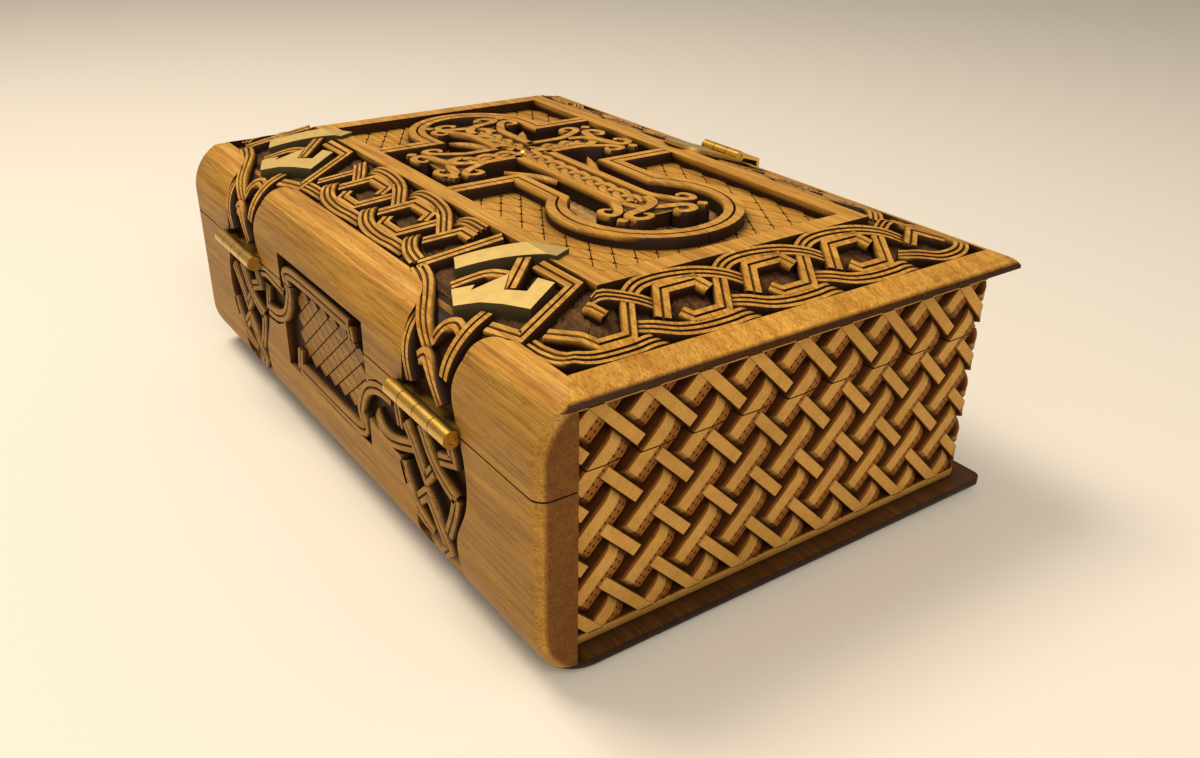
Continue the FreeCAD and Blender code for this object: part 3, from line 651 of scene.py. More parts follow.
UPPER_ARC = [(-16, 5.6, -2.2), (-12.8, 3.4, -0.6), (-8.5, 2.4), (-1, 2.4), (8, 4.2), (15, 7.9),
             (20.5, 11.8, -1.2)]
LOWER_ARC = [(-21.5, 14.8, -1.8), (-17, 18.6), (-11, 21.7), (-4, 23.1), (4, 23.2), (9, 22.8),
             (14.5, 21.6, -2)]
UPPER_FRET = [(-12.6, 16.6), (-6.4, 6.6), (4.8, 6.6), (6.6, 10.8)]
LOWER_FRET = [(-6.6, 16), (-4.6, 19.2), (5.4, 19.2), (12, 8.4)]
UNIT = [(UPPER_ARC, 5, 3), (LOWER_ARC, 5.2, 3), (UPPER_FRET, 4.6, 2, False),
        (LOWER_FRET, 4.4, 2, False)]


def border_place(side, u, d):
    """Plan position for a border's own coordinates."""
    fall = d * COS
    return {"tail": (u, -FRAME_HALF_Y - fall), "head": (-u, FRAME_HALF_Y + fall),
            "fore": (FRAME_FORE_X + fall, u), "spine": (FRAME_SPINE_X - fall, -u)}[side]


def border_part(side, centre, pieces):
    """Strands of a border, with their points given round a centre on that border."""
    return strands(roof_chart, pieces, lambda u, d: border_place(side, centre + u, d))


def chain(side, centres):
    return [shell for centre in centres for shell in border_part(side, centre, UNIT)]


# Part units at the ends of the borders, and the corners beside them in plan
TAIL_END = -54.8
TAIL_PART = [
    ([(5, 2.6, -1.5), (8, 3.6)] + UPPER_ARC[5:], 4.6, 3),
    ([(1.5, 5), (4, 10.4)], 3.6, 2, False),
]
HEAD_END = 54.8
HEAD_PART = [
    (UPPER_ARC[:3] + [(-2, 3.4, -1)], 4.6, 3),
    (LOWER_ARC[:3] + [(-2, 23.1), (6, 22.8), (12.5, 20, -1)], 4.8, 3),
    ([(-12.6, 16.6), (-6.4, 8.6), (3, 8.6)], 4.2, 2, False),
]
SPINE_HEAD_END = 39.5
SPINE_HEAD_PART = [
    (LOWER_ARC[:4], 4.8, 3),
    (UPPER_ARC[:4], 4.6, 3),
    (UPPER_FRET[:2] + [(0, 6.6)], 4.2, 2, False),
]
SPINE_TAIL_END = -50.5
SPINE_TAIL_PART = [
    (UPPER_ARC[4:], 4.6, 3),
    (LOWER_ARC[4:], 4.8, 3),
    (LOWER_FRET[2:], 4, 2, False),
]
SPINE_CORNER = [
    ([(-70, -96.5, -1), (-70.2, -104), (-68.3, -110.2), (-62.5, -113.6), (-52, -114.2),
      (-45.5, -113.6), (-40.3, -112.4, -2)], 4.8, 3),
    ([(-65.5, -98), (-61.5, -106), (-58.5, -110.4), (-49.4, -110.4), (-42.8, -100)], 4, 2, False),
]
FORE_CORNER = [
    ([(49, -107.5, -1.8), (53, -111), (60, -114), (68.5, -113.4), (73.4, -108.6), (74.4, -100.5),
      (72.5, -92.5), (68.5, -86.5, -1.8)], 4.8, 3),
    ([(51, -97.5, -1.8), (56, -95.2), (59.5, -96.5), (62.5, -101.5, -1.2)], 4.4, 3),
    ([(54.5, -106.5), (60.5, -101.5), (67.5, -108)], 4, 2, False),
    ([(66.5, -90.5), (62.5, -96), (68, -101.5)], 4, 2, False),
]

tail_shells = chain("tail", [-24.8, 5.2, 35.2])
tail_shells += strands(roof_chart, SPINE_CORNER)
tail_shells += border_part("tail", TAIL_END, TAIL_PART)
tail_shells += strands(roof_chart, FORE_CORNER)
on_cover("tail_chain", tail_shells)

head_shells = chain("head", [-35.2, -5.2, 24.8])
head_shells += strands(roof_chart, FORE_CORNER, lambda x, y: (x, -y))
head_shells += border_part("head", HEAD_END, HEAD_PART)
on_cover("head_chain", head_shells)
on_cover("fore_chain", chain("fore", [-62.0, -34.0, 36.0, 64.0]))

spine_shells = chain("spine", [-20.5, 9.5])
spine_shells += border_part("spine", SPINE_HEAD_END, SPINE_HEAD_PART)
spine_shells += border_part("spine", SPINE_TAIL_END, SPINE_TAIL_PART)
on_cover("spine_chain", spine_shells)


# Punched ground of the borders

GROUND_DEPTH = 25.6
GROUND_STEP = 0.85
GROUND_LIFT = 0.4
GROUND_ROUGH = 0.36
CHAIN_FORE_X = 76.4
CHAIN_HALF_Y = 116.4
CLASP_GAP_Y = 11.2
FRAME_EDGES = {"tail": (FRAME_SPINE_X, FRAME_FORE_X), "head": (-FRAME_FORE_X, -FRAME_SPINE_X),
               "fore": (-FRAME_HALF_Y, FRAME_HALF_Y), "spine": (-FRAME_HALF_Y, FRAME_HALF_Y)}
# Name, border, start and end along it
GROUNDS = [
    ("tail_ground", "tail", CHAIN_SPINE_X, CHAIN_FORE_X),
    ("head_ground", "head", -CHAIN_FORE_X, -CHAIN_SPINE_X),
    ("spine_ground", "spine", -CHAIN_HALF_Y, CHAIN_HALF_Y),
    ("fore_ground_tail", "fore", -CHAIN_HALF_Y, -CLASP_GAP_Y),
    ("fore_ground_head", "fore", CLASP_GAP_Y, CHAIN_HALF_Y),
]


def border_ground(side, start, end, seed):
    """Punched sheet that stays within the hips of one border."""
    low, high = FRAME_EDGES[side]
    count = ceil(GROUND_DEPTH / GROUND_STEP)
    columns = ceil((high - low + GROUND_DEPTH) / GROUND_STEP)
    rows = []
    for i in range(count + 1):
        d = GROUND_DEPTH * i / count
        spread = d * COS
        a0 = max(low - spread, start)
        a1 = min(high + spread, end)
        rows.append([border_place(side, a0 + (a1 - a0) * k / columns, d) for k in range(columns + 1)])
    return stipple(roof_chart, rows, -RECESS + GROUND_LIFT, GROUND_ROUGH, -RECESS - BURIED, seed)


for seed, (name, side, start, end) in enumerate(GROUNDS, 1):
    on_cover(name, [border_ground(side, start, end, seed)], GROUND_WOOD)


# Straps over the spine: (y, s) on the tail strap

STRAP_UPPER = [
    ([(-47.5, 1.2), (-37.6, 24)], 4.4, 2, False),
    ([(-38.2, 24.2), (-46, 26.4), (-53.6, 30.6), (-60.5, 35.8), (-67.5, 41.6, -1.4)], 5.4, 3),
    ([(-69.5, 3.4), (-86.4, 3.2), (-93.6, 24.6), (-82.5, 27.4)], 4.4, 2, False),
    ([(-76, 24, -0.6), (-78.8, 34), (-78.4, 46, -0.8)], 4.6),
    ([(-54.6, 33, -1.2), (-57.6, 42.5), (-61, 53.8)], 4.2),
    ([(-64, 46, -1), (-68.4, 43.4), (-72.8, 46.8), (-78, 53.8)], 4.4),
    ([(-67.6, 39, -1.2), (-70, 34), (-73.2, 31.6), (-77, 33, -1.4)], 4.2),
    ([(-56.6, 23.6), (-60.2, 14.6), (-66.5, 11.2)], 4),
    ([(-64.6, 4.4, 0.9), (-73.8, 15.4, 0.9)], 4.6, 2, False),
]
STRAP_LOWER = [
    ([(-81.2, 61), (-83.6, 67.8), (-75.8, 70.6)], 4.2, 2, False),
    ([(-65.6, 65.2), (-70, 71.4), (-75.7, 75.9), (-84.4, 79.4)], 4.4),
    ([(-84.4, 78.6), (-82.4, 85), (-78.8, 92.8)], 4.4),
    ([(-56, 68.8), (-61.4, 74.4), (-66.8, 81.6), (-71.2, 76.6)], 4.2, 2, False),
    ([(-52.4, 83), (-55.2, 89.2), (-60, 94.6), (-67.5, 99.6, -1)], 4.4),
    ([(-61.8, 90.6), (-67, 86), (-78.4, 98.4), (-70, 106)], 4.4, 2, False),
]


def strap(name, shift):
    def move(y, s):
        return y + shift, s
    on_cover(name + "_strap_upper", strands(spine_chart, STRAP_UPPER, move))
    make(name + "_strap_lower", strands(spine_chart, STRAP_LOWER, move), "base", SPINE_WOOD)


strap("tail", 0.0)
strap("head", STRAP_STEP)


# Framed panel on the spine and the loops that tie it to the straps, by (y, s)

PANEL_MID_Y = 2.0
PANEL_MID_S = 70.0
PANEL_FOOT = -3.0 - BURIED
HALF_FRAME = [
    ([(25.5, 86.6), (-23.2, 86.6), (-24.6, 79), (-29.6, 70.6), (-38, 66.4), (-47.5, 65.6)], 4.6),
    ([(25.5, 87), (25.5, 80, -0.6)], 4.4, 2, False, PANEL_FOOT - BURIED),
    ([(-33.6, 76.4, -1.4), (-38.6, 79.2), (-46, 79.8), (-58, 76.2, -1)], 4.4),
    ([(-49.4, 64.6, -0.6), (-49.4, 74, -1.4)], 4.2, 2, False),
]


def half_turned(y, s):
    """Place on the panel after half a turn about its middle."""
    return PANEL_MID_Y - (y - PANEL_MID_Y), PANEL_MID_S - (s - PANEL_MID_S)


panel_shells = strands(spine_chart, HALF_FRAME) + strands(spine_chart, HALF_FRAME, half_turned)
make_split("spine_panel_frame", panel_shells, SPINE_WOOD)

# Share of a pillow's height that is upright, and the steps in which a barred corner is drawn in
PILLOW_SIDE = 0.6
DRAWN_IN = 0.94


def pillow(chart, centre, half_a, half_b, gap, corner, base, rise, inset, barred=None):
    """One quilted diamond with cut corners, as a low closed frustum, drawn in where barred(a, b) is true."""
    def ring(inward, height):
        a = half_a - inward
        b = half_b - inward
        corners = [(a, 0), (0, b), (-a, 0), (0, -b)]
        points = []
        for i, here in enumerate(corners):
            for other in (corners[i - 1], corners[(i + 1) % len(corners)]):
                da = here[0] + (other[0] - here[0]) * corner
                db = here[1] + (other[1] - here[1]) * corner
                while barred and barred(centre[0] + da, centre[1] + db):
                    da *= DRAWN_IN
                    db *= DRAWN_IN
                point, normal = chart(centre[0] + da, centre[1] + db)
                points.append(point + normal * height)
        return points
    foot = ring(gap, base)
    edge = ring(gap, base + rise * PILLOW_SIDE)
    top = ring(gap + inset, base + rise)
    n = len(foot)
    return foot + edge + top, tube(3, n), [rise] * n + [rise * (1 - PILLOW_SIDE)] * n + [0.0] * n


def lattice(low_a, high_a, low_b, high_b, half_a, half_b):
    """Middles of diamonds that fill a field, each second row set off by half a diamond."""
    rows = ceil((high_b - low_b) / half_b) + 1
    columns = ceil((high_a - low_a) / (2 * half_a)) + 1
    return [(low_a + 2 * half_a * k + half_a * (i % 2), low_b + half_b * i)
            for i in range(rows) for k in range(columns)]


DIAPER_HALF_Y = 3.9
DIAPER_HALF_S = 3.0
DIAPER_Y = (-23.5, 27.5)
DIAPER_S = (57.5, 84.0)
diaper = []
for y, s in lattice(low_a=-22.0, high_a=26.0, low_b=57.0, high_b=84.0, half_a=DIAPER_HALF_Y,
                    half_b=DIAPER_HALF_S):
    if DIAPER_Y[0] < y < DIAPER_Y[1] and DIAPER_S[0] < s < DIAPER_S[1]:
        diaper.append(pillow(spine_chart, (y, s), DIAPER_HALF_Y, DIAPER_HALF_S, gap=0.14, corner=0.04,
                             base=PANEL_FOOT, rise=0.75, inset=0.2))
make_split("spine_panel_ground", diaper, SPINE_WOOD)


# Niche band, cross and grounds of the sunk panel

BULB_Y = -47.0
BULB_RADIUS = 24.0
NECK_HALF = 15.5
ARM_HALF = 23.0
HEAD_HALF = 19.0
ARCH_Y = 57.0
# The band's centre line, outside the niche's outline
BAND_OUT = 3.0
BAND_END_X = 42.6
NECK_Y = -14.0
BULB_STEPS = 18
ARCH_STEPS = 12


def niche_inside(x, y, grow):
    """True inside the niche's outline, grown by grow."""
    dx = abs(x - PANEL_X)
    return (hypot(dx, y - BULB_Y) < BULB_RADIUS + grow
            or dx < NECK_HALF + grow and BULB_Y < y < CROSSING_Y
            or abs(y - CROSSING_Y) < ARM_HALF + grow
            or dx < HEAD_HALF + grow and CROSSING_Y < y < ARCH_Y
            or hypot(dx, y - ARCH_Y) < HEAD_HALF + grow)


def band_half(side):
    """Centre line of one half of the niche band, as the part below the arms and the part above."""
    bulb = BULB_RADIUS + BAND_OUT
    neck = NECK_HALF + BAND_OUT
    arch = HEAD_HALF + BAND_OUT
    arm = ARM_HALF + BAND_OUT
    join = asin(neck / bulb)
    lower = []
    for k in range(BULB_STEPS + 1):
        angle = (pi - join) * k / BULB_STEPS
        lower.append((bulb * sin(angle), BULB_Y - bulb * cos(angle)))
    lower += [(neck, NECK_Y), (neck, CROSSING_Y - arm), (BAND_END_X, CROSSING_Y - arm)]
    upper = [(BAND_END_X, CROSSING_Y + arm), (arch, CROSSING_Y + arm), (arch, ARCH_Y)]
    for k in range(1, ARCH_STEPS + 1):
        angle = pi / 2 * k / ARCH_STEPS
        upper.append((arch * cos(angle), ARCH_Y + arch * sin(angle)))
    return [[(PANEL_X + side * x, y) for x, y in half] for half in (lower, upper)]


top_chart = level_chart(TOP_Z)
band_shells = [strand(top_chart, points, width=6.6, curved=False, foot=-6.0, groove=1.1, step=3.0)
               for side in (-1, 1) for points in band_half(side)]
on_cover("niche_band", band_shells)


def turned(points, angle):
    """Arm coordinates (out, across) to the plan, for an arm along angle."""
    c = cos(angle)
    s = sin(angle)
    return [(PANEL_X + p[0] * c - p[1] * s, CROSSING_Y + p[0] * s + p[1] * c, *p[2:]) for p in points]


# Direction and reach of the cross's arms
ARMS = [(pi / 2, 46.0), (-pi / 2, 82.0), (0.0, 39.0), (pi, 39.0)]
LONG_ARM = 60
LONG_ARM_KNOT = 0.4
CROSS_FOOT = NICHE_Z - TOP_Z - BURIED
BAND_OFF = 6.2
BAND_START = 5.0
CURL_START = 8.0
BAND_RISE = 0.3
HOOK_RISE = 0.25
BUD_BACK = 3.0
BUD_OFF = 15.0
BUD_HALF = 3.1
BUD_RISE = 0.2
PLAIT_START = 3.0
PLAIT_BACK = 16.0
PLAIT_PITCH = 22.0
PLAIT_SWING = 2.9
PLAIT_LIFT = 0.45
PLAIT_SINK = 0.15
PLAIT_FOOT = -1.6
PLAIT_STEP = 1.0
PLAIT_STRANDS = 3
edge_profile = ridge_profile(3.4, 1, 0.0)
hook_profile = ridge_profile(3.7, 1, 0.0)
plait_profile = round_profile(2.9, 0.8)
leaf_profile = round_profile(4.2, 1.6)
# Ends of an arm: distance back from its tip, across, width factor
VOLUTE = [(26, 6.2, 1), (20, 6.4, 1), (16.1, 7.9, 1), (9.7, 11.8, 0.95), (7.9, 15, 0.85),
          (10.4, 16.8, 0.75), (13.2, 15.8, 0.65), (13.4, 13.6, 0.5), (12.2, 12.6, 0.35)]
HOOK = [(17.5, 4.6, 1), (12.6, 3.2, 1), (9.4, -0.4, 1), (7.6, -5.4, 1), (6.5, -9.7, 0.95),
        (4.4, -11.7, 0.85), (1.5, -10.4, 0.8), (0.8, -7.2, 0.7), (2.9, -4.7, 0.55), (4.4, -6.4, 0.4)]
# Leaves between the arms: direction of an arm, points by it, then the points' heights and width factors
LEAVES = [(-pi / 2, [(33.5, 7.4), (28, 10), (21.5, 13.4), (14.5, 16.8)]),
          (pi / 2, [(12, 7.4), (17, 9.4), (22, 12.4), (26.5, 15.6)])]
LEAF_HEIGHTS = (-0.7, -0.4, -0.5, -1.2)
LEAF_WIDTHS = (0.7, 1.0, 0.8, 0.12)


def plait_strand(angle, reach, phase):
    """One strand of an arm's plait, swinging across and over the others."""
    path = []
    for k in range(int((reach - PLAIT_BACK - PLAIT_START) / PLAIT_STEP) + 1):
        out = PLAIT_START + PLAIT_STEP * k
        turn = 2 * pi * (out / PLAIT_PITCH + phase)
        path.append((out, PLAIT_SWING * sin(turn), PLAIT_LIFT * sin(2 * turn) - PLAIT_SINK, 1.0))
    return sweep(top_chart, turned(path, angle), plait_profile, PLAIT_FOOT)


bands = []
plaits = []
buds = []
for angle, reach in ARMS:
    for side in (-1, 1):
        edge = [(BAND_START, BAND_OFF * side, BAND_RISE, 1.0)]
        if reach > LONG_ARM:
            edge.append((reach * LONG_ARM_KNOT, BAND_OFF * side, BAND_RISE, 1.0))
        edge += [(max(reach - back, CURL_START), off * side, BAND_RISE, wide) for back, off, wide in VOLUTE]
        bands.append(sweep(top_chart, catmull(turned(edge, angle), step=0.9), edge_profile, CROSS_FOOT))
        hook = [(reach - back, off * side, HOOK_RISE * side, wide) for back, off, wide in HOOK]
        bands.append(sweep(top_chart, catmull(turned(hook, angle), step=0.8), hook_profile, CROSS_FOOT))
        centre = turned([(reach - BUD_BACK, BUD_OFF * side)], angle)[0]
        buds.append(pillow(top_chart, centre, BUD_HALF, BUD_HALF, gap=0.0, corner=0.2, base=CROSS_FOOT,
                           rise=BUD_RISE - CROSS_FOOT, inset=0.9))
    plaits += [plait_strand(angle, reach, k / PLAIT_STRANDS) for k in range(PLAIT_STRANDS)]
rays = []
for angle, leaf in LEAVES:
    for side in (-1, 1):
        ray = [(out, off * side, height, wide)
               for (out, off), height, wide in zip(leaf, LEAF_HEIGHTS, LEAF_WIDTHS)]
        rays.append(sweep(top_chart, catmull(turned(ray, angle), step=1.0), leaf_profile, CROSS_FOOT))

# The flat of the cross in the solids: its depth, the flare of its arms and the lobes at their tips
CROSS_SINK = 1.0
TIP_BACK = 4.6
FLARE_BACK = 15.0
FLARE_WIDTH = 4.0
LOBE_OFF = 9.5
LOBE_RADIUS = 4.3
PUNCH_STEP = 0.9


def cross_inside(x, y):
    """True on the flat of the cross in the solids, a little within its edge."""
    dx = x - PANEL_X
    dy = y - CROSSING_Y
    for angle, reach in ARMS:
        out = dx * cos(angle) + dy * sin(angle)
        off = abs(dy * cos(angle) - dx * sin(angle))
        tip = reach - TIP_BACK
        half = BAND_OFF + FLARE_WIDTH * max(out - reach + FLARE_BACK, 0.0) / (FLARE_BACK - TIP_BACK)
        if -1.0 < out < tip and off < half or hypot(out - tip, off - LOBE_OFF) < LOBE_RADIUS:
            return True
    return False


def plan_rows(x, y, width, length):
    """Rows of plan points over a field that starts at a corner."""
    rows = ceil(length / PUNCH_STEP) + 1
    columns = ceil(width / PUNCH_STEP) + 1
    return [[(x + PUNCH_STEP * k, y + PUNCH_STEP * i) for k in range(columns)] for i in range(rows)]


cross_rows = plan_rows(x=PANEL_X - 40.0, y=-60.0, width=80.0, length=131.0)
cross_ground = stipple(level_chart(TOP_Z - CROSS_SINK), cross_rows, level=0.15, rough=0.05, foot=-BURIED,
                       seed=7, keep=cross_inside)
on_cover("cross_ground", [cross_ground], GROUND_WOOD)
on_cover("cross_bands", bands)
on_cover("cross_plaits", plaits)
on_cover("cross_buds", buds)
on_cover("cross_rays", rays)

QUILT_HALF_X = 3.6
QUILT_HALF_Y = 6.1
QUILT_OFF = 1.0
NICHE_LAP = 1.5
quilt = []
ground_chart = level_chart(PANEL_GROUND_Z)


def in_niche(x, y):
    return niche_inside(x, y, QUILT_OFF)


for x, y in lattice(low_a=-39.3, high_a=PANEL_FORE_X, low_b=-87.2, high_b=PANEL_HALF_Y, half_a=QUILT_HALF_X,
                    half_b=QUILT_HALF_Y):
    if in_niche(x, y) or not PANEL_SPINE_X < x < PANEL_FORE_X or abs(y) > PANEL_HALF_Y:
        continue
    quilt.append(pillow(ground_chart, (x, y), QUILT_HALF_X, QUILT_HALF_Y, gap=0.1, corner=0.1, base=-BURIED,
                        rise=0.7, inset=0.2, barred=in_niche))
on_cover("quilted_ground", quilt)

niche_rows = plan_rows(x=PANEL_SPINE_X + 0.2, y=-74.0, width=85.0, length=160.0)
niche_ground = stipple(level_chart(NICHE_Z), niche_rows, level=2.0, rough=0.3, foot=-BURIED, seed=6,
                       keep=lambda x, y: niche_inside(x, y, NICHE_LAP))
on_cover("niche_ground", [niche_ground], NICHE_WOOD)


# Basket weave of the page block, unrolled round the tail, the fore edge and the head

SPINE_INNER_X = -74.0
STUD_Z = 48.0
BLOCK_FORE_X = 79.0
BLOCK_HALF_Y = 119.0
WALL = 9.0
WEAVE_DEPTH = 4.5
CORNER = 3.0
TAIL_RUN = BLOCK_FORE_X - SPINE_INNER_X - CORNER
TURN = CORNER * pi / 2
HALF_RUN = TAIL_RUN + TURN + BLOCK_HALF_Y - CORNER
TOTAL_RUN = 2 * HALF_RUN


def block_chart(p, z):
    """Outside of the page block by distance round it from the spine's tail end, and height."""
    side = -1 if p < HALF_RUN else 1
    p = min(p, TOTAL_RUN - p)
    if p <= TAIL_RUN:
        return Vector((SPINE_INNER_X + p, side * BLOCK_HALF_Y, z)), Vector((0, side, 0))
    turn = (p - TAIL_RUN) / CORNER
    if turn <= pi / 2:
        normal = Vector((sin(turn), side * cos(turn), 0))
        return Vector((BLOCK_FORE_X - CORNER, side * (BLOCK_HALF_Y - CORNER), z)) + normal * CORNER, normal
    return Vector((BLOCK_FORE_X, side * (HALF_RUN - p), z)), Vector((1, 0, 0))


PITCH_Z = 16.4
COLUMNS = round(TOTAL_RUN / PITCH_Z)
PITCH_P = TOTAL_RUN / COLUMNS
FIRST_P = 17.0
FIRST_Z = 65.5
ROWS = 5
STRIP_TOP_Z = 7.7
STRIP_HEAD_Z = 73.3
LAP = 0.5
BARS_TOP_Z = STRIP_HEAD_Z + LAP
BARS_FOOT_Z = STRIP_TOP_Z - LAP
BAR_FOOT = -WEAVE_DEPTH - BURIED
BAR_STEP = 1.2
EDGE_BEVEL = 0.15
EDGE_DROP = 0.2
FALLING_HALF = 1.8
FALLING_REACH = 7.5
END_SLOPE = 1.7
END_DROP = 1.8
# Sides of a rising bar's flat, and the edge and fall of the dotted shoulder beside it
RISING_LEFT = 1.3
RISING_RIGHT = 2.6
SHOULDER_EDGE = 6.3
SHOULDER_DROP = 0.6
FIRST_DOT = RISING_RIGHT + DOT_MARGIN
# How far to the left of a rising bar's middle a place still belongs to that bar
LEFT_REACH = 3.5
# Tilts between which a face is the sloped end of a bar, and how much of the shoulder's brown, partly burnt
# wood and partly painted shade, that end gets
END_TILTS = (0.2, 0.96)
END_TONE = 0.6
PAD_RADIUS = 7.5
PAD_SIDES = 40
DIAGONAL = sqrt(2)
OUTWARD = {"tail": Vector((0, -1, 0)), "fore_edge": Vector((1, 0, 0)), "head": Vector((0, 1, 0))}
MITRE = TAIL_RUN + TURN / 2
WALL_RUNS = {"tail": (0.0, MITRE), "fore_edge": (MITRE, TOTAL_RUN - MITRE),
             "head": (TOTAL_RUN - MITRE, TOTAL_RUN)}
weave = {(wall, level): [] for wall in OUTWARD for level, _ in LEVELS}


def wall_of(p):
    return next((wall for wall, (_, end) in WALL_RUNS.items() if p < end), "head")


def flat_section(half, bevel):
    """Section of a flat bar with eased edges."""
    return [(-half, None), (-half, -EDGE_DROP), (-half + bevel, 0.0), (half - bevel, 0.0), (half, -EDGE_DROP),
            (half, None)]


def add_bar(p, z, rise, stations, section):
    """Adds a bar through (p, z), rising (1) or falling (-1), by stations of (distance along, height)."""
    path = straight([(p + t / DIAGONAL, z + rise * t / DIAGONAL, height) for t, height in stations], BAR_STEP)
    shell = sweep(block_chart, path, section, BAR_FOOT)
    heights = [v.z for v in shell[0]]
    if max(heights) > BARS_TOP_Z or min(heights) < BARS_FOOT_Z:
        shell = cut_shell(shell, [(UP * BARS_TOP_Z, -UP), (UP * BARS_FOOT_Z, UP)])
    if shell[0] and min(v.x for v in shell[0]) < SPINE_INNER_X:
        shell = cut_shell(shell, [(Vector((SPINE_INNER_X, 0, 0)), Vector((1, 0, 0)))])
    if not shell[0]:
        return
    for (level, _), half in zip(LEVELS, seam_halves(shell)):
        if half:
            weave[(wall_of(p), level)].append(half)


falling_section = flat_section(FALLING_HALF, EDGE_BEVEL)
rising_section = [(-SHOULDER_EDGE, None), (-SHOULDER_EDGE, -SHOULDER_DROP), (-RISING_RIGHT, 0.0),
                  (RISING_LEFT - EDGE_BEVEL, 0.0), (RISING_LEFT, -EDGE_DROP), (RISING_LEFT, None)]
rising_stations = [(-10.8, -2.4), (-9.3, -1.5), (-7.9, -0.15), (5.8, -0.15), (7.5, -0.4), (9.2, -1.2),
                   (10.8, -2.4)]
for row in range(ROWS):
    for column in range(-1, COLUMNS + 1):
        p = FIRST_P + PITCH_P * column
        z = FIRST_Z + PITCH_Z * (1 - row)
        falling_stations = [(-FALLING_REACH - END_SLOPE, -END_DROP), (-FALLING_REACH, 0.0),
                            (FALLING_REACH, 0.0)]
        if row == 1:
            falling_stations[:2] = [(-2 * FALLING_REACH, 0.0)]
        if row == ROWS - 1:
            falling_stations[-1] = (2 * FALLING_REACH, 0.0)
        add_bar(p, z, -1, falling_stations, falling_section)
        add_bar(p + PITCH_P / 2, z - PITCH_Z / 2, 1, rising_stations, rising_section)


def brick(x0, x1, y0, y1, z0, z1):
    verts = [Vector((x, y, z)) for z in (z0, z1) for y in (y0, y1) for x in (x0, x1)]
    faces = [(0, 2, 3, 1), (4, 5, 7, 6), (0, 1, 5, 4), (1, 3, 7, 5), (3, 2, 6, 7), (2, 0, 4, 6)]
    return verts, faces, [0.0] * len(verts)


def core(wall, z0, z1):
    """Plain back of one wall, from its inner face to the weave's ground."""
    sunk = WEAVE_DEPTH
    inner_y = BLOCK_HALF_Y - WALL
    if wall == "fore_edge":
        return brick(BLOCK_FORE_X - WALL, BLOCK_FORE_X - sunk, -inner_y, inner_y, z0, z1)
    low, high = (-BLOCK_HALF_Y + sunk, -inner_y) if wall == "tail" else (inner_y, BLOCK_HALF_Y - sunk)
    return brick(SPINE_INNER_X, BLOCK_FORE_X - sunk, low, high, z0, z1)


def strip(wall, z_low, z_high):
    """Plain strip along the foot or the head of one wall."""
    start, end = WALL_RUNS[wall]
    middle = (z_low + z_high) / 2
    path = straight([(start, middle, 0.0), (end, middle, 0.0)], step=1.0)
    return sweep(block_chart, path, flat_section((z_high - z_low) / 2, EDGE_DROP), BAR_FOOT)


def stud_pad():
    """Round spot of the fore edge that is left uncarved under the clasp's stud."""
    verts = []
    for depth, radius in ((-BAR_FOOT, PAD_RADIUS), (EDGE_DROP, PAD_RADIUS), (0.0, PAD_RADIUS - EDGE_DROP)):
        for k in range(PAD_SIDES):
            angle = 2 * pi * k / PAD_SIDES
            y = radius * cos(angle)
            z = STUD_Z + radius * sin(angle)
            verts.append(Vector((BLOCK_FORE_X - depth, y, z)))
    return verts, tube(3, PAD_SIDES), [0.0] * len(verts)


def unrolled(point):
    """Wall, distance round the block and depth below its outside, for a point of the weave."""
    depths = {"tail": point.y + BLOCK_HALF_Y, "fore_edge": BLOCK_FORE_X - point.x,
              "head": BLOCK_HALF_Y - point.y}
    wall = min(depths, key=depths.get)
    run = {"tail": point.x - SPINE_INNER_X, "fore_edge": HALF_RUN + point.y,
           "head": TOTAL_RUN + SPINE_INNER_X - point.x}[wall]
    return wall, run, depths[wall]


def off_rising_bar(run, z):
    """Distance from the middle of the nearest rising bar, towards its shoulder."""
    line = FIRST_P - FIRST_Z + (PITCH_P + PITCH_Z) / 2
    lead = DIAGONAL * LEFT_REACH
    return ((run - z - line + lead) % PITCH_P - lead) / DIAGONAL


def mark_weave(obj):
    """Stores depth, place along and across the rising bars, sloped bar ends and plain faces."""
    mesh = obj.data
    sunk = []
    lengthwise = []
    crosswise = []
    for vertex in mesh.vertices:
        point = vertex.co / MM
        _, run, depth = unrolled(point)
        sunk.append(min(max(depth / WEAVE_DEPTH, 0.0), 1.0))
        lengthwise.append((run + point.z) / DIAGONAL + FIRST_DOT)
        crosswise.append(off_rising_bar(run, point.z) - FIRST_DOT)
    facet = []
    plain = []
    for face in mesh.polygons:
        point = face.center / MM
        wall, run, depth = unrolled(point)
        plain.append(1.0 if depth > WEAVE_DEPTH + 2 * BURIED else 0.0)
        tilt = face.normal.dot(OUTWARD[wall])
        on_shoulder = RISING_RIGHT < off_rising_bar(run, point.z) < SHOULDER_EDGE
        facet.append(END_TONE if on_shoulder and END_TILTS[0] < tilt < END_TILTS[1] else 0.0)
    store(mesh, "sunk", "POINT", sunk)
    store(mesh, "along", "POINT", lengthwise)
    store(mesh, "across", "POINT", crosswise)
    store(mesh, "facet", "FACE", facet)
    store(mesh, "plain", "FACE", plain)


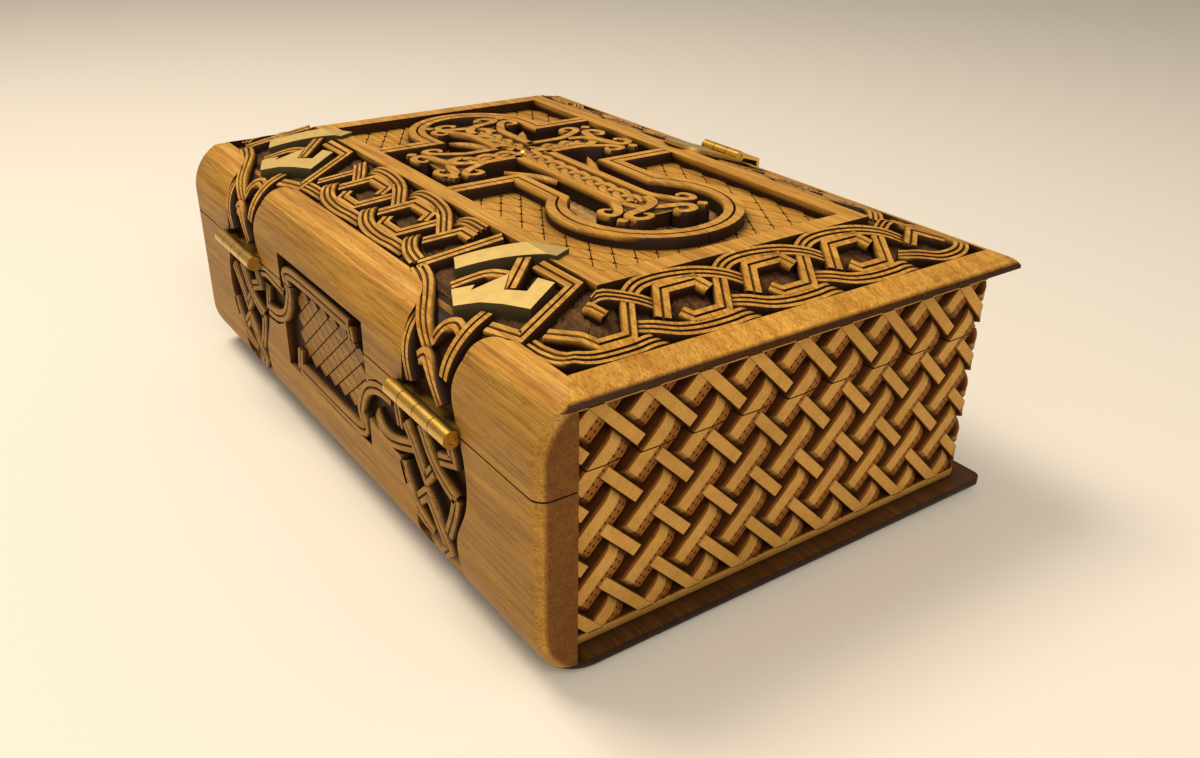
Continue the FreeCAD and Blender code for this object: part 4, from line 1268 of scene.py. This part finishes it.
weave[("fore_edge", "lower")].append(stud_pad())
for wall in OUTWARD:
    weave[(wall, "lower")] += [strip(wall, BACK_Z, STRIP_TOP_Z), core(wall, BACK_Z, SPLIT_Z)]
    weave[(wall, "upper")] += [strip(wall, STRIP_HEAD_Z, UNDER_Z), core(wall, SPLIT_Z, UNDER_Z)]
    for level, body in LEVELS:
        woven = make(wall + "_weave_" + level, weave[(wall, level)], body, BLOCK_WOOD,
                     wall + "_wall_" + level)
        mark_weave(woven)


# Floor, light and camera

FLOOR_HALF = 6.0
FLOOR_DROP = 0.0002
floor_corners = [(x * FLOOR_HALF, y * FLOOR_HALF, 0) for x, y in ((-1, -1), (1, -1), (1, 1), (-1, 1))]
floor_mesh = bpy.data.meshes.new("floor")
floor_mesh.from_pydata(floor_corners, [], [(0, 1, 2, 3)])
floor = linked("floor", floor_mesh)
floor.location.z = -FLOOR_DROP
floor_material, _, floor_shader = new_material("floor")
feed(floor_shader, {"Base Color": (0.80, 0.74, 0.66, 1), "Roughness": 0.9})
floor_mesh.materials.append(floor_material)

world = bpy.data.worlds.new("studio")
scene.world = world
world.use_nodes = True
feed(world.node_tree.nodes["Background"], {"Color": (1.0, 0.92, 0.8, 1), "Strength": 0.38})


def area_light(name, place, target, size, energy, colour):
    data = bpy.data.lights.new(name, "AREA")
    data.size = size
    data.energy = energy
    data.color = colour
    lamp = linked(name, data)
    lamp.location = place
    lamp.rotation_euler = (Vector(target) - Vector(place)).to_track_quat("-Z", "Y").to_euler()


area_light("key", (-0.25, 0.4, 0.98), (0, 0, 0.05), 0.45, 8.2, (1.0, 0.91, 0.76))
area_light("fill", (-0.35, -0.95, 0.7), (0, 0, 0.04), 0.9, 9.5, (1.0, 0.93, 0.8))

camera_data = bpy.data.cameras.new("camera")
camera_data.sensor_width = 36.0
camera_data.lens = 32.64
camera_data.clip_start = 0.01
camera = linked("camera", camera_data)
# Camera fitted to the edges of the box in the photo
place = Vector((-191.99, -298.28, 194.04))
right = Vector((0.81887, -0.57378, 0.01489))
down = Vector((-0.25259, -0.38354, -0.88831))
forward = Vector((0.51541, 0.72365, -0.45900))
turn = Matrix((right, -down, -forward)).transposed().to_4x4()
camera.matrix_world = Matrix.Translation(place * MM) @ turn
scene.camera = camera
scene.view_settings.view_transform = "Standard"
